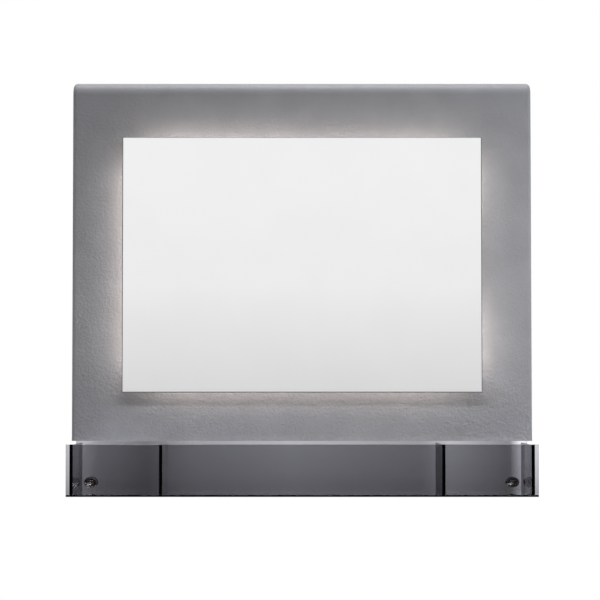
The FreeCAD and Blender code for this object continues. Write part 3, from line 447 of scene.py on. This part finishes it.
# %% Silvered glass
# Silvered plate glass: a sharp reflection that is a shade darker than the room.
material, tree, output = new_material("silvered_glass")
wipe = noise(tree, 60.0)
surface = add_node(tree, "ShaderNodeBsdfPrincipled", values={"Metallic": 1.0},
                   links={"Base Color": blended(tree, wipe.outputs["Fac"], "ededee", "efeff0"),
                          "Roughness": between(tree, wipe.outputs["Fac"], 0.0, 0.015)})
tree.links.new(surface.outputs["BSDF"], output.inputs["Surface"])
finishes["silvered_glass"] = material
print("made", material.name)

# %% [markdown]
# ### Smoked acrylic
#
# The trough is cast acrylic sheet, dyed through and through. A tinted surface would be equally dark at
# any thickness. An absorbing volume is darker the further light travels in it, which gives clear faces
# and black edges, as in the photo. The dye lets a little more blue through.

# %% Smoked acrylic
SMOKE_DENSITY = 225.0
SMOKE_COLOUR = (0.108, 0.108, 0.18, 1.0)

# Cast acrylic, polished: grey glass to look through, black where a plate is seen along its length.
material, tree, output = new_material("smoked_acrylic")
polish = noise(tree, 20.0)
surface = add_node(tree, "ShaderNodeBsdfPrincipled", values={"Transmission Weight": 1.0, "IOR": 1.49},
                   links={"Roughness": between(tree, polish.outputs["Fac"], 0.0, 0.012)})
smoke = add_node(tree, "ShaderNodeVolumeAbsorption",
                 values={"Color": SMOKE_COLOUR, "Density": SMOKE_DENSITY})
tree.links.new(surface.outputs["BSDF"], output.inputs["Surface"])
tree.links.new(smoke.outputs["Volume"], output.inputs["Volume"])
finishes["smoked_acrylic"] = material
print("made", material.name)

# %% [markdown]
# ### Lamp glass
#
# The four small lamps behind the mirror have opal envelopes. A filament in clear glass would be a bright
# thread, and opal glass spreads it over the whole bulb, so the envelope itself gives off the light.

# %% Opal lamp glass
LAMP_STRENGTH = 6.0

# Opal glass: a milky white that glows warm all over.
material, tree, output = new_material("opal_glass")
frost = noise(tree, 10.0)
surface = add_node(tree, "ShaderNodeBsdfPrincipled",
                   values={"Roughness": 0.35, "Emission Strength": LAMP_STRENGTH},
                   links={"Base Color": blended(tree, frost.outputs["Fac"], "f2eee6", "f7f4ee"),
                          "Emission Color": blended(tree, frost.outputs["Fac"], "ffd9b0", "ffe2c0")})
tree.links.new(surface.outputs["BSDF"], output.inputs["Surface"])
finishes["opal_glass"] = material
print("made", material.name)

# %% [markdown]
# ### Small plastics, plating, rubber, foam and brass
#
# The small pieces differ in colour, gloss and the size of their grain, and are alike in everything else.
# One cell per finish would repeat the same five lines, so a loop makes them from a list. The caps are
# black chrome on a moulding, the lampholders are pressed bakelite, and the leads have PVC sheaths.

# %% Small finishes
# Each has its name, its two tones, its least and greatest roughness, its share of metal and its grain in mm.
SMALL_FINISHES = {
    # Black chrome: a dark metal shine with soft highlights.
    "dark_cap": ("black_chrome_plate", "5c5854", "6b6661", 0.2, 0.26, 1.0, 20.0),
    # Pressed bakelite: a dark, slightly cloudy brown with a waxy shine.
    "bakelite": ("pressed_bakelite", "3a2b24", "4a382f", 0.3, 0.42, 0.0, 3.0),
    # Turned brass: a yellow metal, a little dulled by handling.
    "brass": ("turned_brass", "c9a55c", "d9b874", 0.25, 0.38, 1.0, 3.0),
    # Moulded rubber: a dull black without highlights.
    "rubber": ("moulded_rubber", "1a1a1a", "222222", 0.6, 0.75, 0.0, 2.0),
    # Open-cell foam: a dry grey, speckled by its pores.
    "foam": ("open_cell_foam", "4a4a4a", "5c5c5c", 0.85, 0.95, 0.0, 1.5),
    # Extruded PVC sheaths: even colours with a satin shine.
    "brown_pvc": ("extruded_brown_pvc", "4a2c1a", "573522", 0.4, 0.5, 0.0, 4.0),
    "blue_pvc": ("extruded_blue_pvc", "1f4f94", "2a5ba0", 0.4, 0.5, 0.0, 4.0),
    "white_pvc": ("extruded_white_pvc", "d9d8d2", "e3e2dd", 0.4, 0.5, 0.0, 4.0),
}
for slot, (name, first, second, smoothest, roughest, metallic, size) in SMALL_FINISHES.items():
    material, tree, output = new_material(name)
    pattern = noise(tree, size)
    bump = add_node(tree, "ShaderNodeBump", values={"Strength": 0.1, "Distance": 0.0001},
                    links={"Height": pattern.outputs["Fac"]})
    surface = add_node(tree, "ShaderNodeBsdfPrincipled", values={"Metallic": metallic},
                       links={"Base Color": blended(tree, pattern.outputs["Fac"], first, second),
                              "Roughness": between(tree, pattern.outputs["Fac"], smoothest, roughest),
                              "Normal": bump.outputs["Normal"]})
    tree.links.new(surface.outputs["BSDF"], output.inputs["Surface"])
    finishes[slot] = material
print("made", len(SMALL_FINISHES), "small finishes")

# %% [markdown]
# ### Earth lead
#
# An earth lead is green with yellow stripes, so that nobody takes it for another. Noise would mix the two
# colours into patches. A wave texture gives bands with clear borders, here a stripe every few
# millimetres.

# %% Striped PVC of the earth lead
# Millimetres from one yellow stripe to the next along a lead that runs straight up or across.
STRIPE = 6.0
# Diagonal bands of a wave texture repeat about every 0.628 units along an axis, at a scale of 1.
WAVE_LENGTH = 0.628

# Extruded two-colour PVC: clear green and yellow stripes with a satin shine.
material, tree, output = new_material("striped_pvc")
place = add_node(tree, "ShaderNodeTexCoord")
stripes = add_node(tree, "ShaderNodeTexWave", {"bands_direction": "DIAGONAL"},
                   {"Scale": MILLIMETRES_PER_METRE * WAVE_LENGTH / STRIPE},
                   {"Vector": place.outputs["Object"]})
surface = add_node(tree, "ShaderNodeBsdfPrincipled",
                   links={"Base Color": blended(tree, stripes.outputs["Fac"], "2f7d32", "d8c020"),
                          "Roughness": between(tree, stripes.outputs["Fac"], 0.4, 0.5)})
tree.links.new(surface.outputs["BSDF"], output.inputs["Surface"])
finishes["green_pvc"] = material
print("made", material.name)

# %% [markdown]
# ### Finishes on the frame
#
# The record names a material slot for each piece of the assembly, so one loop dresses all of them. Pieces
# that are rebuilt below get the same finishes again.

# %% Put the finishes on the frame
for subpart in frame["record"]["subparts"]:
    mesh = nodes[subpart["node"]].data
    mesh.materials.clear()
    mesh.materials.append(finishes[subpart["material_slot"]])

# %% [markdown]
# ## Acrylic plates of the trough
#
# The trough is glued together from polished plates. Light that crosses a plate is dimmed by its
# thickness, and an edge seen end on is black because the light has a long way to go. Each plate is a
# closed shape with a small polished bevel along its top edges, and a hair's breadth of air stays between
# plates so that no two faces lie in the same place. The back plate keeps the assembly's own shape, which
# already has its screw holes.

# %% Plates with broken top edges
TOP_BREAK = 0.0004
GLUE_GAP = 0.00005


def new_piece(name, shape, *materials):
    """A piece of the scene from a finished bmesh, with its materials in order."""
    mesh = bpy.data.meshes.new(name)
    shape.to_mesh(mesh)
    shape.free()
    for material in materials:
        mesh.materials.append(material)
    piece = bpy.data.objects.new(name, mesh)
    scene.collection.objects.link(piece)
    return piece


def box_shape(low, high):
    """A box between two corners."""
    shape = bmesh.new()
    bmesh.ops.create_cube(shape, size=1.0)
    bmesh.ops.scale(shape, vec=high - low, verts=shape.verts)
    bmesh.ops.translate(shape, vec=(low + high) / 2, verts=shape.verts)
    return shape


gap = Vector((GLUE_GAP, GLUE_GAP, GLUE_GAP))
for place in ("left_end", "left_divider", "right_divider", "right_end", "bottom", "front"):
    node = "shelf_" + place
    low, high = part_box(node)
    shape = box_shape(low + gap, high - gap)
    middle = (low.z + high.z) / 2
    top_edges = [edge for edge in shape.edges if min(vert.co.z for vert in edge.verts) > middle]
    bmesh.ops.bevel(shape, geom=top_edges, offset=TOP_BREAK, segments=2, profile=0.5, affect="EDGES")
    plate = new_piece("acrylic_" + place, shape, finishes["smoked_acrylic"])
    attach(plate, "wall_unit")
    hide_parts(node)
    print(plate.name, [round(MILLIMETRES_PER_METRE * side, 1) for side in high - low])

# %% [markdown]
# ## Caps of the wall screws
#
# An oval snap-on cap hides each of the trough's two wall screws: a thin flange, a short barrel and a
# dome. It could be a scaled sphere, but then its edges would have no form. Here a profile is turned round
# the screw's axis, as on a lathe, and widened sideways to an oval. The flange and the shoulder are
# rounded, because plated edges are, and that is where the highlights sit.

# %% Turned oval caps
CAP_SIDES = 64
DOME_RINGS = 12
SHARP_ANGLE = math.radians(40)
CAP_SHOULDER = (0.862, 0.66)
# Pairs of the share of the cap's half width and the share of its length, from the seat to the shoulder.
CAP_PROFILE = [(1.0, 0.0), (1.0, 0.075), (0.985, 0.098), (0.95, 0.112), (0.90, 0.115), (0.872, 0.125),
               CAP_SHOULDER]
for ring in range(1, DOME_RINGS):
    angle = math.radians(90 * ring / DOME_RINGS)
    CAP_PROFILE.append((CAP_SHOULDER[0] * math.cos(angle),
                        CAP_SHOULDER[1] + (1 - CAP_SHOULDER[1]) * math.sin(angle)))


def turned_cap(low, high):
    """A closed cap that fills a box, turned from its seat at the rear to its crown at the front."""
    shape = bmesh.new()
    middle = (low + high) / 2
    half = (high - low) / 2
    rings = []
    for reach, rise in CAP_PROFILE:
        depth = high.y - rise * 2 * half.y
        angles = [2 * math.pi * side / CAP_SIDES for side in range(CAP_SIDES)]
        rings.append([shape.verts.new((middle.x + reach * half.x * math.cos(angle), depth,
                                       middle.z + reach * half.z * math.sin(angle))) for angle in angles])
    crown = shape.verts.new((middle.x, low.y, middle.z))
    shape.faces.new(rings[0])
    for side in range(CAP_SIDES):
        following = (side + 1) % CAP_SIDES
        for inner, outer in zip(rings[1:], rings):
            shape.faces.new((outer[side], outer[following], inner[following], inner[side]))
        shape.faces.new((rings[-1][side], rings[-1][following], crown))
    bmesh.ops.recalc_face_normals(shape, faces=shape.faces)
    return shape


def shade_smooth(mesh):
    """Smooth shading, with an edge left wherever two faces meet at a sharp angle."""
    mesh.shade_smooth()
    mesh.set_sharp_from_angle(angle=SHARP_ANGLE)


for side in ("left", "right"):
    node = side + "_screw_cap"
    cap = new_piece(side + "_oval_cap", turned_cap(*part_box(node)), finishes["dark_cap"])
    shade_smooth(cap.data)
    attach(cap, "wall_unit")
    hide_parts(node)
    print(cap.name, "with", len(cap.data.polygons), "faces")

# %% [markdown]
# ## Mirror
#
# The mirror is plate glass, silvered and painted on its back. Its front edge is ground to a narrow arris,
# which is matt and shows as a dark line round the bright face. One box with a bevel makes it, and each
# face takes the finish of the side that it looks to.

# %% Ground glass, backing paint and the mirror plate
ARRIS = 0.001
# A face belongs to the front or the back if its normal has at least this much of that direction.
SQUARE = 0.9
# Places of two finishes in the mirror's list, where the silvered glass is the first.
GROUND_EDGE = 1
PAINTED_BACK = 2

# Ground glass edge: matt, dark and a little green, because it shows the depth of the plate.
material, tree, output = new_material("ground_glass")
scratch = noise(tree, 0.8)
surface = add_node(tree, "ShaderNodeBsdfPrincipled", values={"Roughness": 0.5},
                   links={"Base Color": blended(tree, scratch.outputs["Fac"], "2f3634", "434b48")})
tree.links.new(surface.outputs["BSDF"], output.inputs["Surface"])
ground_glass = material

# Backing paint: a dull pale grey with faint brush marks.
material, tree, output = new_material("mirror_backing_paint")
brush = noise(tree, 10.0)
surface = add_node(tree, "ShaderNodeBsdfPrincipled", values={"Roughness": 0.55},
                   links={"Base Color": blended(tree, brush.outputs["Fac"], "c9c8c4", "d6d5d0")})
tree.links.new(surface.outputs["BSDF"], output.inputs["Surface"])
backing_paint = material

glass_low, glass_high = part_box("mirror_glass")
shape = box_shape(glass_low, glass_high)
front_edges = [edge for edge in shape.edges if max(vert.co.y for vert in edge.verts) < glass_high.y - ARRIS]
bmesh.ops.bevel(shape, geom=front_edges, offset=ARRIS, segments=1, profile=0.5, affect="EDGES")
for face in shape.faces:
    if face.normal.y > SQUARE:
        face.material_index = PAINTED_BACK
    elif face.normal.y > -SQUARE:
        face.material_index = GROUND_EDGE
mirror = new_piece("mirror_plate", shape, finishes["silvered_glass"], ground_glass, backing_paint)
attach(mirror, "mirror")
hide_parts("mirror_glass")
print("mirror plate with", len(mirror.data.polygons), "faces")

# %% [markdown]
# ## Screws, rivets and nuts
#
# Bought fasteners are all alike, and only the turn of each one differs. They could be copied by hand, one
# after the other. A node tree that puts one shape on every place of a list keeps them alike and leaves
# each size as a named input. The places come from the frame, where every fastener is a separate island of
# its group's mesh, and the length of a group's fasteners comes from the box of its first island.

# %% Places and sizes of the fasteners in a group
MERGE_DISTANCE = 1e-6
# Fasteners whose left sides agree to this many digits of a metre stand in one column.
COLUMN_DIGITS = 4


def islands(node):
    """The lowest and highest corner of each separate solid of a node, from left to right and upwards."""
    shape = bmesh.new()
    shape.from_mesh(nodes[node].data)
    bmesh.ops.remove_doubles(shape, verts=shape.verts, dist=MERGE_DISTANCE)
    found = []
    waiting = set(shape.verts)
    while waiting:
        reached = [waiting.pop()]
        for vert in reached:
            beside = {edge.other_vert(vert) for edge in vert.link_edges} & waiting
            waiting -= beside
            reached.extend(beside)
        spans = [[vert.co[axis] for vert in reached] for axis in range(3)]
        found.append((Vector([min(span) for span in spans]), Vector([max(span) for span in spans])))
    shape.free()
    return sorted(found, key=lambda corners: (round(corners[0].x, COLUMN_DIGITS), corners[0].z))


print("tray screws:", len(islands("tray_screws")))

# %% A tree that puts one fastener on every place
# A random value has a socket of each name for every kind of data, so those for numbers are picked by place.
RANDOM_MOST = 3
RANDOM_SEED = 8
RANDOM_NUMBER = 1


def fastener_tree(name, sizes, one_shape):
    """A node tree with named sizes that sets one shape on every point, each with its own turn."""
    tree = bpy.data.node_groups.new(name, "GeometryNodeTree")
    kinds = [("Places", "NodeSocketGeometry")]
    kinds += [(size, "NodeSocketFloat") for size in sizes]
    kinds += [("Tilt", "NodeSocketFloat"), ("Seed", "NodeSocketInt"), ("Finish", "NodeSocketMaterial")]
    for label, kind in kinds:
        tree.interface.new_socket(label, in_out="INPUT", socket_type=kind)
    tree.interface.new_socket("Fasteners", in_out="OUTPUT", socket_type="NodeSocketGeometry")
    given = add_node(tree, "NodeGroupInput").outputs
    turn = add_node(tree, "FunctionNodeRandomValue", {"data_type": "FLOAT"},
                    {RANDOM_MOST: 2 * math.pi}, {RANDOM_SEED: given["Seed"]})
    angles = add_node(tree, "ShaderNodeCombineXYZ",
                      links={"X": given["Tilt"], "Y": turn.outputs[RANDOM_NUMBER]})
    pose = add_node(tree, "FunctionNodeEulerToRotation", links={"Euler": angles.outputs["Vector"]})
    copies = add_node(tree, "GeometryNodeInstanceOnPoints",
                      links={"Points": given["Places"], "Instance": one_shape(tree, given),
                             "Rotation": pose.outputs["Rotation"]})
    solid = add_node(tree, "GeometryNodeRealizeInstances", links={"Geometry": copies.outputs["Instances"]})
    finished = add_node(tree, "GeometryNodeSetMaterial",
                        links={"Geometry": solid.outputs["Geometry"], "Material": given["Finish"]})
    add_node(tree, "NodeGroupOutput", links={"Fasteners": finished.outputs["Geometry"]})
    return tree


print("a fastener tree takes places, sizes, a tilt, a seed and a finish")

# %% Shapes inside a tree
BAR_RINGS = 4


def worked_out(tree, operation, first, second):
    """The result of one sum, whose two terms are numbers or outputs."""
    terms = {0: first, 1: second}
    values = {place: term for place, term in terms.items() if isinstance(term, float)}
    links = {place: term for place, term in terms.items() if place not in values}
    return add_node(tree, "ShaderNodeMath", {"operation": operation}, values, links).outputs["Value"]


def moved(tree, shape, rise, turn=(0.0, 0.0, 0.0)):
    """A shape that is turned about its origin and then moved up."""
    lift = add_node(tree, "ShaderNodeCombineXYZ", links={"Z": rise})
    return add_node(tree, "GeometryNodeTransform", values={"Rotation": turn},
                    links={"Geometry": shape, "Translation": lift.outputs["Vector"]}).outputs["Geometry"]


def joined(tree, operation, *shapes):
    """One closed shape from several, or what they have in common."""
    return add_node(tree, "GeometryNodeMeshBoolean", {"operation": operation, "solver": "EXACT"},
                    links={"Mesh 2": shapes}).outputs["Mesh"]


def cut(tree, shape, cutter):
    """A shape with a cutter taken out of it."""
    return add_node(tree, "GeometryNodeMeshBoolean", {"operation": "DIFFERENCE", "solver": "EXACT"},
                    links={"Mesh 1": shape, "Mesh 2": cutter}).outputs["Mesh"]


def round_bar(tree, radius, low, high, sides):
    """An upright bar between two heights, round or with as many flats as it has sides."""
    depth = worked_out(tree, "SUBTRACT", high, low)
    bar = add_node(tree, "GeometryNodeMeshCylinder", {"fill_type": "TRIANGLE_FAN"},
                   {"Vertices": sides, "Fill Segments": BAR_RINGS}, {"Radius": radius, "Depth": depth})
    middle = worked_out(tree, "MULTIPLY", worked_out(tree, "ADD", high, low), 0.5)
    return moved(tree, bar.outputs["Mesh"], middle)


def crowned_bar(tree, radius, low, high, drop, power, sides):
    """A round bar whose top falls towards its rim: a low power gives a dome, a high one a chamfer."""
    bar = round_bar(tree, radius, low, high, sides)
    place = add_node(tree, "GeometryNodeInputPosition").outputs["Position"]
    axes = add_node(tree, "ShaderNodeSeparateXYZ", links={"Vector": place}).outputs
    across = add_node(tree, "ShaderNodeCombineXYZ", links={"X": axes["X"], "Y": axes["Y"]})
    reach = add_node(tree, "ShaderNodeVectorMath", {"operation": "LENGTH"},
                     links={"Vector": across.outputs["Vector"]}).outputs["Value"]
    share = worked_out(tree, "POWER", worked_out(tree, "DIVIDE", reach, radius), power)
    fall = worked_out(tree, "MULTIPLY", worked_out(tree, "MULTIPLY", share, drop), -1.0)
    top = worked_out(tree, "GREATER_THAN", axes["Z"], worked_out(tree, "MULTIPLY", high, 0.5))
    offset = add_node(tree, "ShaderNodeCombineXYZ", links={"Z": fall}).outputs["Vector"]
    return add_node(tree, "GeometryNodeSetPosition",
                    links={"Geometry": bar, "Selection": top, "Offset": offset}).outputs["Geometry"]


print("rings on the end of a bar:", BAR_RINGS)

# %% [markdown]
# ### The three kinds of fastener
#
# A pan-head screw has a crowned head with a cross recess, a rivet has a head and a set tail on one shank,
# and a nut is a hexagon whose upper corners are cut back by a crowned bar. Each is drawn standing on its
# seat with its head up, and the tree turns it to the wall or to the viewer.

# %% Screw, rivet and nut
ROUND_SIDES = 32
NUT_SIDES = 6
CROWN_OVERSIZE = 1.01
OVERLAP = 0.0005
DOMED = 2.0
CHAMFERED = 8.0


def cross_head_screw(tree, given):
    """A pan-head screw whose head stands on the seat, with a cross recess and a shank below."""
    height = given["Head Height"]
    screw = crowned_bar(tree, given["Head Radius"], 0.0, height, given["Head Drop"], DOMED, ROUND_SIDES)
    depth = worked_out(tree, "MULTIPLY", given["Cross Depth"], 2.0)
    for width, length in (("Cross Width", "Cross Length"), ("Cross Length", "Cross Width")):
        size = add_node(tree, "ShaderNodeCombineXYZ",
                        links={"X": given[width], "Y": given[length], "Z": depth})
        blade = add_node(tree, "GeometryNodeMeshCube", links={"Size": size.outputs["Vector"]})
        screw = cut(tree, screw, moved(tree, blade.outputs["Mesh"], height))
    foot = worked_out(tree, "MULTIPLY", given["Shank Length"], -1.0)
    shank = round_bar(tree, given["Shank Radius"], foot, OVERLAP, ROUND_SIDES)
    return joined(tree, "UNION", screw, shank)


def domed_rivet(tree, given):
    """A rivet whose head stands on the seat, with a shank through the grip and a set tail under it."""
    height = given["Head Height"]
    drop = given["Head Drop"]
    head = crowned_bar(tree, given["Head Radius"], 0.0, height, drop, DOMED, ROUND_SIDES)
    tail = crowned_bar(tree, given["Tail Radius"], 0.0, height, drop, DOMED, ROUND_SIDES)
    grip_end = worked_out(tree, "MULTIPLY", given["Grip"], -1.0)
    shank_end = worked_out(tree, "SUBTRACT", grip_end, OVERLAP)
    shank = round_bar(tree, given["Shank Radius"], shank_end, OVERLAP, ROUND_SIDES)
    return joined(tree, "UNION", head, shank, moved(tree, tail, grip_end, (math.pi, 0.0, 0.0)))


def hexagon_nut(tree, given):
    """A nut that stands on the seat, with chamfered corners on top and a bore."""
    height = given["Height"]
    block = round_bar(tree, given["Corner Radius"], 0.0, height, NUT_SIDES)
    reach = worked_out(tree, "MULTIPLY", given["Corner Radius"], CROWN_OVERSIZE)
    crown = crowned_bar(tree, reach, -OVERLAP, height, given["Corner Drop"], CHAMFERED, ROUND_SIDES)
    above = worked_out(tree, "ADD", height, OVERLAP)
    bore = round_bar(tree, given["Bore Radius"], -OVERLAP, above, ROUND_SIDES)
    return cut(tree, joined(tree, "INTERSECT", block, crown), bore)


SCREW_SIZES = {"Head Radius": 0.0035, "Head Height": 0.0024, "Head Drop": 0.0009, "Shank Radius": 0.00175,
               "Cross Width": 0.0009, "Cross Length": 0.0040, "Cross Depth": 0.0013}
RIVET_SIZES = {"Head Radius": 0.0040, "Head Height": 0.0012, "Head Drop": 0.0008, "Tail Radius": 0.0030,
               "Shank Radius": 0.0020}
NUT_SIZES = {"Corner Radius": 0.0045, "Corner Drop": 0.0008, "Bore Radius": 0.00255}
screw_tree = fastener_tree("cross_head_screws", [*SCREW_SIZES, "Shank Length"], cross_head_screw)
rivet_tree = fastener_tree("domed_rivets", [*RIVET_SIZES, "Grip"], domed_rivet)
nut_tree = fastener_tree("hexagon_nuts", [*NUT_SIZES, "Height"], hexagon_nut)
print("node trees:", [len(tree.nodes) for tree in (screw_tree, rivet_tree, nut_tree)])

# %% [markdown]
# ### Fasteners in place
#
# The heads of most screws look to the wall, because the panel is put together from behind. Those of the
# lamp brackets and the earth tag look to the viewer. A live modifier could stay on each group, but a
# plain mesh is dressed, moved and exported like any other piece, so each tree is evaluated once and its
# result is kept.

# %% Set the fasteners in place
TO_WALL = math.radians(-90)
TO_VIEWER = math.radians(90)
SEED = 7
SCREW_GROUPS = {"tray_screws": TO_WALL, "shelf_screws": TO_WALL, "cable_plate_screws": TO_WALL,
                "block_screws": TO_WALL, "bracket_screws": TO_VIEWER, "earth_screw": TO_VIEWER}
slot_of = {subpart["node"]: subpart["material_slot"] for subpart in frame["record"]["subparts"]}


def set_fasteners(name, tree, node, tilt, head_height, sizes):
    """One plain mesh of a group's fasteners, each on its own seat, in place of the group's node."""
    seats = []
    for low, high in islands(node):
        depth = high.y - head_height if tilt == TO_WALL else low.y + head_height
        seats.append(((low.x + high.x) / 2, depth, (low.z + high.z) / 2))
    places = bpy.data.meshes.new(name + "_places")
    places.from_pydata(seats, [], [])
    piece = bpy.data.objects.new(name, places)
    scene.collection.objects.link(piece)
    modifier = piece.modifiers.new("fasteners", "NODES")
    modifier.node_group = tree
    given = {**sizes, "Tilt": tilt, "Seed": SEED, "Finish": finishes[slot_of[node]]}
    for item in tree.interface.items_tree:
        if item.name in given:
            modifier[item.identifier] = given[item.name]
    evaluated = piece.evaluated_get(bpy.context.evaluated_depsgraph_get())
    mesh = bpy.data.meshes.new_from_object(evaluated)
    piece.modifiers.remove(modifier)
    piece.data = mesh
    shade_smooth(mesh)
    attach(piece, "wall_unit")
    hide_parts(node)
    print(name, len(seats), "fasteners,", len(mesh.polygons), "faces")


for node, tilt in SCREW_GROUPS.items():
    low, high = islands(node)[0]
    length = high.y - low.y - SCREW_SIZES["Head Height"]
    set_fasteners("cross_head_" + node, screw_tree, node, tilt, SCREW_SIZES["Head Height"],
                  {**SCREW_SIZES, "Shank Length": length})
low, high = islands("hanger_rivets")[0]
grip = high.y - low.y - 2 * RIVET_SIZES["Head Height"]
set_fasteners("domed_hanger_rivets", rivet_tree, "hanger_rivets", TO_WALL, RIVET_SIZES["Head Height"],
              {**RIVET_SIZES, "Grip": grip})
low, high = islands("post_nuts")[0]
set_fasteners("hexagon_post_nuts", nut_tree, "post_nuts", TO_WALL, high.y - low.y,
              {**NUT_SIZES, "Height": high.y - low.y})

# %% [markdown]
# ## Glow behind the mirror
#
# The lamps light the white tray and the back of the mirror, and the panel catches what comes out round
# the edge. The light that the mirror's back returns is drawn as warm strips behind its edges, because
# following it through every bounce would leave grain in the picture. The strips stop short of the
# corners, where the photo is dark, and their strengths follow the photo. They ride on the mirror, so the
# glow goes up with it.

# %% Warm light round the mirror
STRIP_WIDTH = 0.014
STRIP_EDGE = 0.001
STRIP_DEPTH = 0.0045
GLOW_COLOUR = "fff3ec"
GLOW_PER_METRE = 0.45
# Each stretch of an edge has the shares of the edge where it starts and ends, and its strength.
STRIPS = {
    "left": ((0.07, 0.92, 0.88),),
    "right": ((0.06, 0.36, 0.90), (0.36, 0.70, 0.28), (0.70, 0.94, 0.66)),
    "top": ((0.06, 0.50, 0.88), (0.50, 0.94, 0.76)),
    "bottom": ((0.08, 0.50, 0.62), (0.50, 0.92, 0.62)),
}

strip_y = glass_high.y + STRIP_DEPTH
inset = STRIP_EDGE + STRIP_WIDTH / 2
for side, stretches in STRIPS.items():
    upright = side in ("left", "right")
    for number, (start, end, share) in enumerate(stretches, 1):
        if upright:
            x = glass_low.x + inset if side == "left" else glass_high.x - inset
            span = glass_high.z - glass_low.z
            place = (x, strip_y, glass_low.z + span * (start + end) / 2)
        else:
            z = glass_high.z - inset if side == "top" else glass_low.z + inset
            span = glass_high.x - glass_low.x
            place = (glass_low.x + span * (start + end) / 2, strip_y, z)
        length = span * (end - start)
        size = (STRIP_WIDTH, length) if upright else (length, STRIP_WIDTH)
        target = (place[0], 0, place[2])
        power = GLOW_PER_METRE * length * share
        glow = area_light("glow_%s_%d" % (side, number), place, target, size, power, GLOW_COLOUR)
        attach(glow, "mirror")
print("glow at y", round(strip_y, 4))
